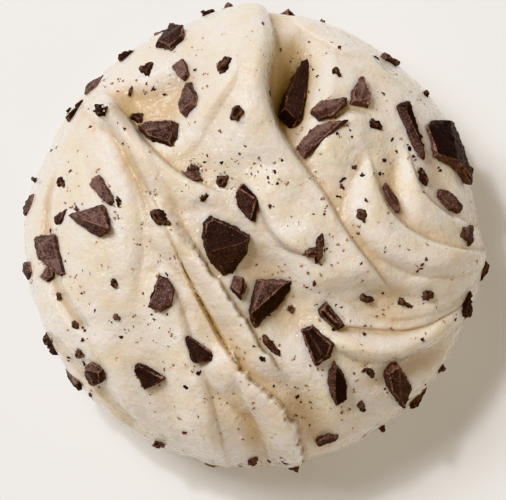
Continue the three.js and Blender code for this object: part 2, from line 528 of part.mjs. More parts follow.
// The folded skin as a grid, whose square rings become rings round the top,
// closed by a flat foot. Each cell is split along the diagonal that lies closer
// to the true skin, so that creases stay whole.
function moundGeometry() {
  const positions = [];
  const indices = [];
  const half = skinCells / 2;
  const row = skinCells + 1;
  const skinAt = (i, j) => {
    const a = (i - half) / half;
    const b = (j - half) / half;
    const wide = Math.abs(a) > Math.abs(b);
    const ring = Math.max(Math.abs(a), Math.abs(b));
    const quarter = ring === 0 ? 0 : 45 * degrees * (wide ? b / a : a / b);
    const turned = wide ? quarter : Math.PI / 2 - quarter;
    const bearing = turned + ((wide ? a : b) < 0 ? Math.PI : 0);
    const down = skinLength * (topShare * ring + (1 - topShare) * ring ** crowd);
    return skinPoint(down * Math.cos(bearing), down * Math.sin(bearing));
  };
  for (let j = 0; j < row; j += 1) {
    for (let i = 0; i < row; i += 1) {
      positions.push(...skinAt(i, j).toArray());
    }
  }
  for (let j = 0; j < skinCells; j += 1) {
    for (let i = 0; i < skinCells; i += 1) {
      const a = j * row + i;
      const b = a + 1;
      const c = a + row;
      const d = c + 1;
      const middleHeight = skinAt(i + 0.5, j + 0.5).z;
      const miss = (p, q) => Math.abs((positions[3 * p + 2] + positions[3 * q + 2]) / 2 - middleHeight);
      if (miss(a, d) < miss(b, c)) indices.push(a, b, d, a, d, c);
      else indices.push(a, b, c, b, d, c);
    }
  }
  const middle = positions.length / 3;
  positions.push(0, 0, 0);
  for (let k = 0; k < skinCells; k += 1) {
    const far = skinCells * row;
    indices.push(k + 1, k, middle);
    indices.push(far + k, far + k + 1, middle);
    indices.push(k * row, (k + 1) * row, middle);
    indices.push((k + 1) * row + skinCells, k * row + skinCells, middle);
  }
  const geometry = new THREE.BufferGeometry();
  geometry.setAttribute('position', new THREE.Float32BufferAttribute(positions, 3));
  geometry.setIndex(indices);
  return geometry;
}

// Moves every side of an anticlockwise outline out by a distance.
function widen(corners, distance) {
  const count = corners.length;
  const sides = corners.map(([x, y], i) => {
    const [nextX, nextY] = corners[(i + 1) % count];
    return new THREE.Vector2(nextY - y, x - nextX).normalize();
  });
  return corners.map(([x, y], i) => {
    const before = sides[(i + count - 1) % count];
    const after = sides[i];
    const stretch = distance / Math.max(1 + before.dot(after), 0.4);
    return [x + (before.x + after.x) * stretch, y + (before.y + after.y) * stretch];
  });
}

// A broken piece: its outline at the skin, a narrower broken face above it that
// falls to both sides of a crest, and a narrower underside in the gelato. A
// small chip is plainer, with straight sides and one flat face.
function brokenPiece(corners, { rise, crest, fall, plain, aside = 0, sink = embed }, extra) {
  const count = corners.length;
  const centre = [0, 1].map((k) => corners.reduce((sum, corner) => sum + corner[k], 0) / count);
  const reach = Math.max(...corners.map(([x, y]) => Math.hypot(x - centre[0], y - centre[1])));
  const origin = skinPoint(...centre);
  const step = Math.max(0.6 * reach, 1);
  const slopeAlong = (dx, dy) => skinPoint(centre[0] + dx, centre[1] + dy)
    .sub(skinPoint(centre[0] - dx, centre[1] - dy)).divideScalar(2 * step);
  const east = slopeAlong(step, 0);
  const north = slopeAlong(0, step);
  const up = east.clone().cross(north).normalize();
  const place = (x, y, height) => origin.clone()
    .addScaledVector(east, x).addScaledVector(north, y).addScaledVector(up, height);
  const crestX = Math.cos(crest * degrees);
  const crestY = Math.sin(crest * degrees);
  const points = [];
  widen(corners, extra).forEach(([cornerX, cornerY]) => {
    const x = cornerX - centre[0];
    const y = cornerY - centre[1];
    const left = y * crestX - x * crestY - aside;
    const drop = Math.abs(left) * (left > 0 ? fall[0] : fall[1]);
    const top = Math.max(rise - drop, 0.35 * rise);
    points.push(place(0.86 * x, 0.86 * y, top + extra));
    if (!plain) points.push(place(x, y, 0.1));
    points.push(place(0.7 * x, 0.7 * y, -sink - extra));
  });
  const along = 0.55 * reach;
  (plain ? [] : [-along, along]).forEach((way) => {
    const x = way * crestX - aside * crestY;
    const y = way * crestY + aside * crestX;
    points.push(place(x, y, rise + extra));
  });
  return new ConvexGeometry(points);
}

// An uneven five-sided outline of a given length and width, anticlockwise.
function chipOutline([x, y], [length, width], turn, seed) {
  const corners = [];
  for (let k = 0; k < 5; k += 1) {
    const angle = (k + 0.7 * (draw(seed + k) - 0.5)) * 72 * degrees;
    const along = chipReach * length * Math.cos(angle);
    const across = chipReach * width * Math.sin(angle);
    const cos = Math.cos(turn * degrees);
    const sin = Math.sin(turn * degrees);
    corners.push([x + along * cos - across * sin, y + along * sin + across * cos]);
  }
  return corners;
}

// Spreads pieces round the flank: one to each equal sector, at a drawn height.
function roundTheFlank({ count, down, length, slender }, seed) {
  return Array.from({ length: count }, (_, i) => {
    const pick = (k) => draw(seed + 10 * i + k);
    const bearing = 360 * (i + 0.15 + 0.7 * pick(0)) / count * degrees;
    const way = between(down, pick(1));
    const size = between(length, pick(2));
    const at = [way * Math.cos(bearing), way * Math.sin(bearing)];
    const width = size * between(slender, pick(3));
    return { at, size: [size, width], turn: 180 * pick(4), seed: seed + 10 * i };
  });
}

// ---- Assembly --------------------------------------------------------------
const gelatoFinish = { color: 0xefe2c8, roughness: 0.5, metalness: 0 };
const chocolateFinish = { color: 0x2e1a15, roughness: 0.45, metalness: 0 };

function namedMesh(name, geometry, finish) {
  const mesh = new THREE.Mesh(geometry, new THREE.MeshStandardMaterial(finish));
  mesh.name = name;
  return mesh;
}

// Every large piece with its outline on the unrolled skin.
function largePieces() {
  const shown = Object.entries(chocolate).map(([name, piece]) => (
    { name: `chocolate_${name}`, shape: piece, corners: piece.corners.map(unroll) }));
  const onFlank = roundTheFlank(flankPieces, 1000).map((piece, i) => {
    const shape = {
      rise: between(flankPieces.rise, draw(piece.seed + 7)),
      crest: piece.turn,
      fall: [0.15, 0.4],
    };
    const corners = chipOutline(piece.at, piece.size, piece.turn, piece.seed);
    return { name: `chocolate_flank_${i + 1}`, shape, corners };
  });
  return shown.concat(onFlank);
}

// The mound with its small chips joined on and a seat cut for each large piece.
function gelato(pieces) {
  let solid = toManifold(moundGeometry());
  const small = chips.map((chip, i) => ({ ...chip, at: unroll(chip.at), seed: 100 + 10 * i }))
    .concat(roundTheFlank(flankChips, 3000));
  small.forEach(({ at, size, turn, seed }) => {
    const shape = { rise: chipRise, crest: turn, fall: [0.2, 0.2], plain: true, sink: chipSink };
    solid = solid.add(toManifold(brokenPiece(chipOutline(at, size, turn, seed), shape, 0)));
  });
  pieces.forEach(({ corners, shape }) => {
    solid = solid.subtract(toManifold(brokenPiece(corners, shape, gap)));
  });
  const bodies = solid.decompose().sort((a, b) => b.volume() - a.volume());
  return toGeometry(bodies[0]);
}

const group = new THREE.Group();
const pieces = largePieces();
group.add(namedMesh('gelato', gelato(pieces), gelatoFinish));
pieces.forEach(({ name, shape, corners }) => {
  group.add(namedMesh(name, brokenPiece(corners, shape, 0), chocolateFinish));
});

export default group;
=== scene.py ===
"""One helping of stracciatella gelato: a mound of soft ivory gelato drawn into
folds, with broken pieces of dark chocolate, small chips and fine specks in it.

Lengths are in millimetres while the shapes are worked out, and become metres
as the meshes are made. The folds are drawn on the mound's skin as if it were
unrolled flat: a point of the skin lies at (x, y), and its distance from the
origin is the way down the skin from the top's centre.
"""

import bpy
import numpy as np
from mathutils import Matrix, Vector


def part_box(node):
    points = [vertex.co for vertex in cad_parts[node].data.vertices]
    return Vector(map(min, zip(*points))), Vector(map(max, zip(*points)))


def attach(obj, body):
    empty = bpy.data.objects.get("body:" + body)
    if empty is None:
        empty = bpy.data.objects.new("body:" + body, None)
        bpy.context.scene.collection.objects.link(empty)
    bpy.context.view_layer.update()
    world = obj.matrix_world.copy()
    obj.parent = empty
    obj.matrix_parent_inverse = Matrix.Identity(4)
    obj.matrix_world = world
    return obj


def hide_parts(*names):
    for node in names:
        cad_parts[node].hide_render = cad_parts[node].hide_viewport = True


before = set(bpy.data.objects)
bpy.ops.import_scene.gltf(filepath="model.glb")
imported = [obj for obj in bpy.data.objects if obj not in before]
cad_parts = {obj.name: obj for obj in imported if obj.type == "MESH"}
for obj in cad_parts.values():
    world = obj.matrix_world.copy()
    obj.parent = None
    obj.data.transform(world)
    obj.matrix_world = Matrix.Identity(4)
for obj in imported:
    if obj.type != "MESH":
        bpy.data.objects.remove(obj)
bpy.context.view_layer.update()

bl_info = {
    "name": "Stracciatella gelato",
    "version": (1, 0, 0),
    "blender": (4, 5, 0),
    "location": "3D View > Sidebar > Gelato",
    "description": "Makes a folded helping of gelato with chocolate pieces, chips and specks",
    "category": "Add Mesh",
}

METRE = 0.001  # metres in a millimetre
DEGREE = np.pi / 180
COLOUR = dict(subtype="COLOR", size=3)
SHARE = dict(min=0.0, max=1.0)


# ---- Sizes and colours -------------------------------------------------------
class MoundSizes(bpy.types.PropertyGroup):
    """The plain mound under the folds, in millimetres."""

    radius: bpy.props.FloatProperty(
        name="Radius", description="Widest line, without the layers on the flank", default=48.0)
    waist: bpy.props.FloatProperty(
        name="Waist", description="Height of the widest line", default=12.0)
    shoulder: bpy.props.FloatProperty(
        name="Shoulder", description="Rise from the widest line to the rim of the top", default=20.0)
    roundness: bpy.props.FloatProperty(
        name="Roundness", description="Of the shoulder: 2 is a dome, more is squarer", default=3.5)
    dome: bpy.props.FloatProperty(
        name="Dome", description="Extra rise of the top's centre", default=4.5)
    tuck: bpy.props.FloatProperty(
        name="Tuck", description="How far the foot lies inside the widest line", default=5.0)
    foot_turn: bpy.props.FloatProperty(
        name="Foot turn", description="Degrees that the skin turns under at the foot", default=62.0)
    cells: bpy.props.IntProperty(
        name="Cells", description="Grid cells across the skin", default=312)


class GelatoFinish(bpy.types.PropertyGroup):
    """Colours and gloss of the gelato."""

    ivory: bpy.props.FloatVectorProperty(
        name="Ivory", description="Main colour", default=(0.84, 0.777, 0.71), **COLOUR)
    cream: bpy.props.FloatVectorProperty(
        name="Cream", description="Warmer patches", default=(0.81, 0.71, 0.555), **COLOUR)
    # Painted shade: the darker, warmer honey tone laid into the hollows and beside two creases
    painted_hollow_shade: bpy.props.FloatVectorProperty(
        name="Honey", description="Tone of the hollows", default=(0.62, 0.43, 0.225), **COLOUR)
    amber: bpy.props.FloatVectorProperty(
        name="Amber", description="Line in the long crease", default=(0.46, 0.26, 0.08), **COLOUR)
    dark_amber: bpy.props.FloatVectorProperty(
        name="Dark amber", description="Dark bits in that line", default=(0.09, 0.04, 0.012), **COLOUR)
    fleck: bpy.props.FloatVectorProperty(
        name="Fleck", description="Flecks just under the skin", default=(0.40, 0.20, 0.09), **COLOUR)
    stain: bpy.props.FloatVectorProperty(
        name="Stain", description="Cocoa stain round the chocolate", default=(0.30, 0.20, 0.16), **COLOUR)
    roughness: bpy.props.FloatProperty(
        name="Roughness", description="Of the moist surface", default=0.36, **SHARE)


class ChocolateFinish(bpy.types.PropertyGroup):
    """Colours and gloss of the chocolate."""

    dark: bpy.props.FloatVectorProperty(
        name="Dark", description="Broken faces", default=(0.014, 0.0068, 0.0075), **COLOUR)
    # Paler colour of dust, and painted light: it also goes on the faces that lean towards the key lamp
    bloom_and_lit_side: bpy.props.FloatVectorProperty(
        name="Bloom", description="Paler, dusty patches", default=(0.225, 0.134, 0.122), **COLOUR)
    edge: bpy.props.FloatVectorProperty(
        name="Edge", description="Worn edges", default=(0.35, 0.20, 0.155), **COLOUR)
    crumb: bpy.props.FloatVectorProperty(
        name="Crumb", description="Pale crumbs on the faces", default=(0.42, 0.30, 0.27), **COLOUR)
    thin: bpy.props.FloatVectorProperty(
        name="Thin", description="Thin specks", default=(0.11, 0.03, 0.03), **COLOUR)
    tan: bpy.props.FloatVectorProperty(
        name="Tan", description="Specks under the skin", default=(0.47, 0.27, 0.14), **COLOUR)
    roughness: bpy.props.FloatProperty(
        name="Roughness", description="Of the broken faces", default=0.5, **SHARE)


class SpeckSizes(bpy.types.PropertyGroup):
    """Fine specks of chocolate scattered over the skin."""

    dark_count: bpy.props.IntProperty(name="Dark count", description="Number of dark specks", default=560)
    tan_count: bpy.props.IntProperty(name="Tan count", description="Number of faint specks", default=1280)
    smallest: bpy.props.FloatProperty(
        name="Smallest", description="Radius of a dark speck in millimetres", default=0.12)
    largest: bpy.props.FloatProperty(
        name="Largest", description="Radius of a dark speck in millimetres", default=0.5)


class StudioSettings(bpy.types.PropertyGroup):
    """Floor, light and camera."""

    floor: bpy.props.FloatVectorProperty(
        name="Floor", description="Plain pale floor", default=(0.96, 0.97, 0.99), **COLOUR)
    lens: bpy.props.FloatProperty(
        name="Lens", description="Focal length in millimetres", default=300.0, subtype="DISTANCE_CAMERA")
    view_width: bpy.props.FloatProperty(
        name="View width", description="Width of the picture at the widest line, in millimetres",
        default=112.0)


# ---- The folds ---------------------------------------------------------------
# A stroke is a ridge (or a crease, where its rise is negative) along a route.
# Each side has a width and a bluntness: under 1 is a steep lip, over 1 a soft
# slope; four numbers give both at the route's start and at its end. Left and
# right are as seen when walking along the route, and where "foot" names a side,
# the route marks the foot of that side's lip. A rise of two numbers changes
# along the way, over the stretch given by "change". "fades" are the lengths
# over which it comes up and dies away, and "crinkle" says how far its middle
# line wanders. Strokes and swells marked "east" lie beyond the centre fold and
# end at its lip.
CENTRE_ROUTE = [(3.6, 58), (4.6, 42), (3.7, 34), (5.3, 26), (11.4, 15.2), (15.6, 9.3), (20, 1.8),
                (26, -6), (33, -13.5)]
CREASE_ROUTE = [(-31, 25.5), (-27, 19), (-24, 13), (-20.8, 6.5), (-17.5, -1), (-13.3, -10),
                (-9.5, -17), (-6.5, -22.5), (-3.2, -27.8)]
TONGUE_ROUTE = [(-4.4, -28.5), (-3, -35), (-0.4, -41), (1.6, -46.5), (3.6, -62)]
STROKES = [
    # the tall centre fold, whose lip hangs over the deep hollow
    dict(route=CENTRE_ROUTE, rise=(7.8, 2.8), change=(0.25, 0.6), left=(3.6, 0.5, 1.0, 0.5),
         right=(18, 1.8), foot="left", fades=(0, 12)),
    # rim of the deep hollow at the upper right
    dict(route=[(8, 56), (11.5, 50), (15, 46.5), (20, 43), (27, 41)], east=True,
         rise=1.4, left=(9, 1.8), right=(1.4, 0.6), foot="right", fades=(4, 9)),
    # brow of the right lobe
    dict(route=[(11, 17), (15.2, 22.8), (19, 26.6), (22.6, 28.4), (28, 27)], east=True,
         rise=2.6, left=(1.5, 0.55), right=(10, 1.8), foot="left", fades=(6, 7)),
    # lip of the right lobe, which curls out to the right
    dict(route=[(25, 21), (26, 17.6), (26.6, 14.2), (27.8, 10.5), (30, 6.4), (33.5, 2.8), (38, 0.2),
                (44, -1.6), (52, -2.5), (62, -3)], east=True,
         rise=(2.6, 2.0), change=(0.1, 0.5), left=(1.2, 0.5), right=(12, 1.7), foot="left", fades=(6, 0)),
    # outer lip on the right
    dict(route=[(33.6, 24), (35.2, 18.4), (36.2, 13.8), (38.5, 9.6), (42, 6.8), (47, 4.8),
                (55, 3.5), (64, 3)], east=True,
         rise=(1.9, 1.5), change=(0.1, 0.6), left=(1.2, 0.5), right=(8, 1.7), foot="left", fades=(9, 0)),
    # bands that sweep out to the right under the lobe
    dict(route=[(20, 9), (25.5, 1.8), (31, -2.5), (37, -5), (43, -5.4), (52, -4.6), (64, -4)], east=True,
         rise=2.0, left=(7, 1.8), right=(3.2, 1.0), fades=(9, 0)),
    dict(route=[(31, -11), (37, -10.4), (43, -9.6), (50, -8), (60, -5)],
         rise=0.9, left=(3, 1.3), right=(4, 1.5), fades=(7, 0)),
    dict(route=[(18, -12), (24, -14.8), (31, -16.4), (39, -15.8), (48, -12.5), (58, -7)],
         rise=0.5, left=(4, 1.5), right=(1.6, 0.9), fades=(9, 0)),
    dict(route=[(11, -15.5), (16, -18.6), (22, -19.3), (28, -20), (34, -20.4), (41, -19), (49, -15.6),
                (60, -9)],
         rise=1.2, left=(8, 1.8), right=(1.2, 0.6), foot="right", fades=(10, 0)),
    dict(route=[(14, -20.5), (19, -22.6), (25, -24), (31, -24.3), (38, -23), (46, -19.6), (60, -12)],
         rise=2.1, left=(3.4, 1.3), right=(3.2, 0.9), fades=(9, 0)),
    # rounded toe of the centre fold
    dict(route=[(-5, 13), (-1, 9.6), (1.4, 6), (3.2, 1.9), (6.2, -1.6), (10.4, -3.8), (16, -5)],
         rise=2.1, left=(11, 1.8), right=(1.5, 0.6), foot="right", fades=(9, 9)),
    # soft crest on the slope left of the centre fold, and the drawn line beside it
    dict(route=[(-2.6, 42), (-6.3, 34.5), (-10.4, 28), (-13.6, 22), (-15.4, 17)],
         rise=0.9, left=(2.6, 1.1), right=(5, 1.6), fades=(9, 6)),
    dict(route=[(-0.5, 40), (-5.2, 31), (-8.6, 24), (-10.8, 17)],
         rise=-0.4, left=(4, 1.6), right=(2.6, 1.4), fades=(9, 6)),
    # rounded nose at the upper left, where the folds begin
    dict(route=[(-41, 35.5), (-37.6, 32.4), (-34.6, 29.8), (-31, 26), (-26, 19)],
         rise=2.6, left=(3.4, 0.9), right=(3.6, 1.0), fades=(4, 13)),
    # twisted edge, upper stretch: a thin lip over the upper left hollow
    dict(route=[(-35.5, 32), (-31.4, 30), (-27.8, 27), (-24.4, 22.4), (-20, 17.6), (-15.4, 14),
                (-9.5, 11.2), (-3, 9.4)],
         rise=(3.0, 1.9), left=(1.0, 0.5), right=(6, 1.7), foot="left", fades=(5, 9)),
    # rope of gelato right of the long crease
    dict(route=[(-35, 31), (-31, 27.2), (-27.2, 21.8), (-23.6, 15), (-20.6, 8), (-17.4, 1.5), (-14, -5)],
         rise=1.4, left=(3.0, 1.3), right=(2.2, 1.0), fades=(4, 12)),
    # the long crease itself: a fine line that opens into a cleft towards its end
    dict(route=CREASE_ROUTE, rise=(-0.4, -2.2), change=(0.5, 0.8), left=(0.35, 0.9, 0.5, 0.8),
         right=(0.6, 1.2, 0.8, 1.1), fades=(6, 4)),
    # two crests left of the long crease
    dict(route=[(-33.4, 26), (-29.8, 18.4), (-26.8, 11.4), (-24.4, 4), (-22.4, -4)],
         rise=0.7, left=(1.8, 1.1), right=(2.4, 1.3), fades=(5, 9)),
    dict(route=[(-38.4, 30.5), (-36, 26), (-33.3, 20.8), (-30.6, 14), (-28.4, 7), (-27.2, 0),
                (-27, -7), (-27.6, -15)],
         rise=1.5, left=(3.2, 1.2), right=(5, 1.6), fades=(5, 13)),
    # twisted edge, lower stretch: soft at first, then a lip over the valley
    dict(route=[(-20.5, 12.5), (-16.2, 5.2), (-12.9, -1), (-10, -5.4), (-7.1, -9.4), (-4.2, -13.7),
                (-0.4, -19.2), (2.4, -24.2), (5.6, -28), (9, -31.5)],
         rise=(2.0, 2.7), change=(0.1, 0.4), left=(4.5, 1.1, 0.7, 0.5), right=(5.5, 1.7), foot="left",
         fades=(11, 9), crinkle=0.4),
    # narrow crest between the lower left lobe and the tongue
    dict(route=[(-22, -6), (-19, -13), (-16.8, -19), (-14.6, -26), (-12.6, -32), (-11.2, -38),
                (-10, -46), (-9, -60)],
         rise=2.0, left=(2.6, 1.0), right=(8, 1.8), fades=(10, 0)),
    # tongue that runs out at the lower edge, with a scalloped lip and a shallow left side
    dict(route=[(-6.6, -21.4), (-3.6, -27), (-0.3, -30.3), (3, -33.4), (6.8, -36.8), (9.4, -41),
                (10.9, -45.5), (12.6, -53), (14, -64)],
         rise=(2.6, 3.8), change=(0.05, 0.3), left=(1.0, 0.5), right=(7, 1.2), foot="left",
         fades=(5, 0), crinkle=0.75),
    dict(route=TONGUE_ROUTE,
         rise=-1.2, left=(1.0, 0.8), right=(3.4, 1.5), fades=(5, 0)),
    # creases along the left rim
    dict(route=[(-45, 20), (-48.5, 8), (-48.3, -2), (-45.6, -11), (-41, -17.8), (-36.5, -23.2)],
         rise=-1.6, left=(3, 1.3), right=(2.2, 1.1), fades=(12, 5)),
    dict(route=[(-52, -20), (-44, -28.5), (-38, -34.5), (-32.5, -41), (-27, -51)],
         rise=-1.4, left=(3.2, 1.3), right=(3, 1.2), fades=(9, 8)),
    dict(route=[(-35.6, -18), (-33.6, -24), (-31.6, -31), (-29.2, -38), (-26, -46)],
         rise=0.8, left=(4, 1.6), right=(3, 1.4), fades=(6, 8)),
]

# Rounded rises and hollows: centre, half length and half width, turn in
# degrees, and height (negative for a hollow).
SWELLS = [
    dict(at=(-36, 0), half=(12, 30), turn=4, rise=1.9),  # left lobe
    dict(at=(-22, -32), half=(9, 22), turn=18, rise=-1.1),  # shelf below it
    dict(at=(-21, 29), half=(18, 9.5), turn=35, rise=-3.6),  # upper left hollow
    dict(at=(-27.6, 31.6), half=(7, 5), turn=-40, rise=-2.2),  # pit beside the nose
    dict(at=(8.5, 33), half=(9, 21), turn=-17, rise=-6.2, east=True),  # deep hollow
    dict(at=(31.5, 13), half=(5, 12), turn=12, rise=-1.4, east=True),
    dict(at=(42, 13), half=(6, 10), turn=25, rise=-1.4, east=True),
    dict(at=(5, -12), half=(10, 21), turn=35, rise=-3.4),  # valley under the centre fold
    dict(at=(28, -16), half=(24, 10), turn=-8, rise=-3.8),
    dict(at=(13, -41), half=(6, 17), turn=25, rise=-2.2),
    dict(at=(36, -29), half=(17, 5.5), turn=20, rise=-2.4),
    dict(at=(27, 44), half=(14, 8), turn=-30, rise=1.4, east=True),
]

# Layers that wrap round the flank: the middle line as the way down the skin and
# how far it wanders, the steep lower edge and soft upper side, and the bearings
# in degrees between which the layer runs.
LAYERS = [
    dict(down=61, wander=2.5, waves=3, phase=0.4, rise=2.3, steep=4, soft=12, start=152, end=382),
    dict(down=66, wander=2.5, waves=2, phase=2.2, rise=2.3, steep=4, soft=12, start=355, end=555),
    dict(down=72, wander=2, waves=3, phase=3.4, rise=1.8, steep=4, soft=9, start=190, end=340),
    dict(down=57, wander=1.5, waves=2, phase=1.1, rise=1, steep=4, soft=8, start=60, end=150),
]
LAYER_FADE = 30  # degrees
LAYER_BLUNTNESS = (0.8, 1.8)  # below and above its middle line

WIDEST_ROW = 240  # row of the mound's profile that holds the widest line
TOP_REACH = 30  # way down the skin where folds begin to push outwards
TURN_REACH = 20  # stretch over which that push comes up
RIM_REACH = 44  # way down the skin where their lift begins to fade
FOOT_CALM = 6  # stretch above the foot without any lift
FLANK_SHARE = 0.22  # part of a fold's height that shows on the flank
FAINT_WIDTH = 0.4  # share of a stroke's width that stays where it fades out
TOP_SHARE = 0.85  # share of the skin over which the grid rings are spread evenly
CROWD = 5  # how late the rest of the skin widens the rings
CRINKLE_REACH = 2.2  # how far from its middle line a stroke's crinkle is felt
LIP_MIDDLE = 0.6  # place of a lip's middle, as a share of the lip's width
LIP_PULL = 0.68  # how strongly grid points are drawn towards a lip
LIP_REACH = 1.9  # how far from a lip that is felt
CALM_REACH = 46  # way down the skin beyond which the grid isn't drawn to the lips
CALM_FADE = 8
LUMPS = [(0.24, 6.5, 3), (0.1, 2.4, 8)]  # height, size and seed of the skin's lumps
DRAG_HEIGHT = 0.07
DRAG_WIDTH = 0.95
DRAG_STRETCH = 9  # how many times longer than wide the drag lines are

AMBER_WIDTH = 0.3  # of the amber line in the long crease
STAIN_REACH = 0.5  # how far from the large pieces their stain shows
STAIN_SHARE = 0.22  # how strong the stain is at a piece's side
# Bands of painted shade, in the honey tone, beside two creases: the crease they run beside, how far east
# of it, their width and strength.
PAINTED_SHADE_BANDS = [(CREASE_ROUTE, 1, 3.5, 0.25), (TONGUE_ROUTE, 0, 4, 0.3)]
# Scales of the painted shade in the hollows: ring of grid cells, depth of a full hollow and its share.
PAINTED_SHADE_SCALES = [(5, 1.0, 0.85), (13, 2.8, 1.0), (26, 4.5, 1.0)]

# Small chips that lie where they show: centre in plan, length, width and turn.
CHIPS = [
    (-12.8, 14.2, 4.6, 3.6, -25), (-23, 37, 3.8, 3, 80), (-25.3, 26.4, 3.2, 2.6, -20),
    (-32.7, 27.4, 3.2, 2.4, -40), (-27, 32.4, 2.6, 1.6, 80), (-3.4, 27, 3.4, 2.8, 70),
    (-5.9, 37.1, 3.9, 2, 60), (-39, 28.2, 6.6, 2.2, 64), (-27.9, 39.6, 5, 1.6, 32),
    (-9.6, 47.6, 4.2, 1.6, 18), (-41.8, 12.2, 2.3, 2.2, 0), (-41.7, 4.6, 4.2, 2.2, 62),
    (-29.2, 8, 2.2, 1.2, 95), (-20.4, 4.6, 3.9, 2, -45), (-10.8, 8.8, 2.4, 1.7, 10),
    (-6.8, 12.4, 2.6, 2.3, 20), (-42.5, -12.8, 1.8, 1.5, 0), (-39, -19.1, 2.2, 1.3, -30),
    (-37.7, -25, 2.4, 1.8, 0), (-43.4, -22.6, 6.4, 1.5, -62), (-30.2, -9.6, 2.3, 1.2, -65),
    (-29.6, -17, 1.3, 1.2, 0), (-20.2, -43.6, 3.4, 2, -10), (15.8, -43.8, 5.6, 3.2, 8),
    (4, -23.3, 5.2, 2, -50), (8.2, -15.2, 2.1, 1.6, 15), (14.1, -2.3, 5.6, 1.7, 82),
    (12.6, -3, 3.8, 1.9, 8), (24.6, -13, 3.2, 1.5, -18), (32.8, -14, 4, 1.2, -32),
    (37.8, -12.2, 2.4, 1.5, -10), (45.3, -14.2, 6.8, 3.6, 66), (25.5, -29.1, 2.5, 1.4, -60),
    (23.6, -36.6, 2.6, 1.6, -55), (46.3, 1, 5.2, 4.2, 60), (36.8, 13.3, 4.4, 1.2, -66),
    (26.2, 24.6, 4, 1.5, -38), (23.4, 4.9, 3, 2, -60), (24.1, 8.2, 1.7, 1.1, -35),
    (21.6, 15.4, 1.3, 1.1, 20), (17.8, 36.3, 1.9, 1.2, -40),
]
FLANK_CHIPS = dict(count=14, down=(54, 72), length=(1.8, 4), slender=(0.45, 0.8))
CHIP_CORNERS = 5
CHIP_REACH = 0.56  # of a chip's corners from its centre, as a share of its length or width
CHIP_RISE = 0.9
CHIP_SINK = 0.8
CHIP_LEAN = 0.35  # how far a chip's sides lean in
CHIP_TOP = (0.12, 0.08, 1.0)  # way that a chip's upper face looks
CHIP_CELLS = 14
CHIP_GRAIN = 1.4  # how coarse a chip's break is, where a large piece's is 1
CHIP_WEAR = 0.45  # how worn a chip's edges are, as a share of a large piece's
CHIP_SEED = 100
FLANK_SEED = 3000

PIECE_CELLS = (30, 60)  # across a side of the globe that a minor or a major piece starts as
MAJOR_PIECE = 4  # product of the half sizes from which a piece is a major one
EDGE_SOFTNESS = 0.045  # how softly two broken faces meet
WORN_FROM = 0.16  # way from an edge where its wear begins to fade
WORN_FADE = 0.24

# How pale the large pieces' broken faces are, from dark and smooth to pale, partly
# real dust and partly painted light: for most pieces the bearing lies towards the key
# lamp, so the faces that lean towards the light are painted paler. The columns: the
# faces that lean away from a bearing, those that lean towards it, and the bearing in
# degrees. Pieces not named here take the usual ones.
DUST_AND_LIT_SIDE = {
    "slab": (0.25, 0.1, 105), "wedge": (0.08, 0.75, 130), "longFlake": (0.0, 0.2, -10),
    "rimBlock": (0.0, 0.85, 190), "arrow": (0.5, 1.15, 70), "plank": (1.3, 1.3, 90),
    "chip": (0.7, 0.9, 90), "curl": (0.7, 1.2, 130), "forkArm": (0.6, 1.1, 110),
    "forkHead": (0.7, 1.1, 60), "seed": (0.6, 1.0, 180), "husk": (0.8, 0.7, 90),
    "pod": (0.05, 0.35, 130), "spar": (0.4, 0.95, 200), "rimLeaf": (0.6, 0.8, 120),
    "prow": (0.1, 0.7, 100), "splinter": (0.0, 0.5, 190), "blade": (0.0, 0.6, 180),
    "lump": (0.35, 0.6, 120), "knuckle": (0.0, 0.15, 120), "lowerTriangle": (0.2, 0.15, 90),
    "kite": (0.05, 0.25, 120), "leftTriangle": (0.15, 0.2, 90), "block": (0.05, 0.3, 170),
    "rimShard": (0.3, 0.9, 220),
}
# the usual paleness: dust, and painted light on the faces that lean towards the key lamp
USUAL_DUST_AND_LIT_SIDE = (0.2, 0.7, 130)
CHIP_DUST = 0.2  # the small chips', times a number drawn for each

SPECK_SEED = 11
SPECK_CELLS = 3
SPECK_STEP = 0.4  # half the stretch of skin that gives a speck its slopes
CROWDED_REACH = 46  # way down the skin within which most of the fine specks lie
CROWDED_SHARE = 0.74  # the share of them that do
FOOT_GAP = 3  # stretch above the foot without specks
TAN_RADIUS = (0.1, 0.24)
SPECK_THICKNESS = (0.5, 0.3)  # of dark and of tan specks, as a share of their width
DARK_SHADE = 0.62  # palest of the dark specks, where 0 is dark and 1 is tan
TAN_SHADE = (0.7, 1.0)
SPECK_GROUP = 6
SPECK_NEIGHBOURS = [(1, 1.3), (2, 0.3), (4, 0.3)]  # which of a group lie beside the last, how far

# Area lamps: name, place and size in metres, power in watts and colour.
LAMPS = [
    ("key", (-1.3, 1.12, 1.72), 1.25, 43, (0.99, 0.99, 1.0)),
    ("glint", (-0.9, 1.15, 1.9), 0.2, 12, (1.0, 1.0, 1.0)),
    ("fill", (1.2, -0.9, 2.0), 1.6, 11, (1.0, 0.88, 0.71)),
]
SKY_COLOUR = (1, 0.85, 0.66, 1)
SKY_STRENGTH = 0.28
FLOOR_REACH = 3.0  # metres from the middle to the floor's sides


# ---- Small helpers -----------------------------------------------------------
def ease(t):
    """Rises from 0 to 1 while t goes from 0 to 1: three squares less two cubes."""
    inside = np.clip(t, 0.0, 1.0)
    return inside * inside * (3 - 2 * inside)


def scrambled(key):
    """A repeatable number between 0 and 1: the fraction of a large multiple of a sine."""
    value = np.sin(key) * 43758.5453
    return value - np.floor(value)


def draw(seed):
    """The number between 0 and 1 that belongs to a seed."""
    return scrambled(np.asarray(seed, float) * 78.233 + 12.9898)


def between(pair, share):
    """The value that lies the given share of the way from one number to the other."""
    return pair[0] + (pair[1] - pair[0]) * share


def unit(vectors):
    """Vectors, one to a row, brought to length one."""
    return vectors / np.linalg.norm(vectors, axis=-1, keepdims=True)


def cos_sin(degrees):
    """Cosine and sine of an angle in degrees."""
    return np.cos(degrees * DEGREE), np.sin(degrees * DEGREE)


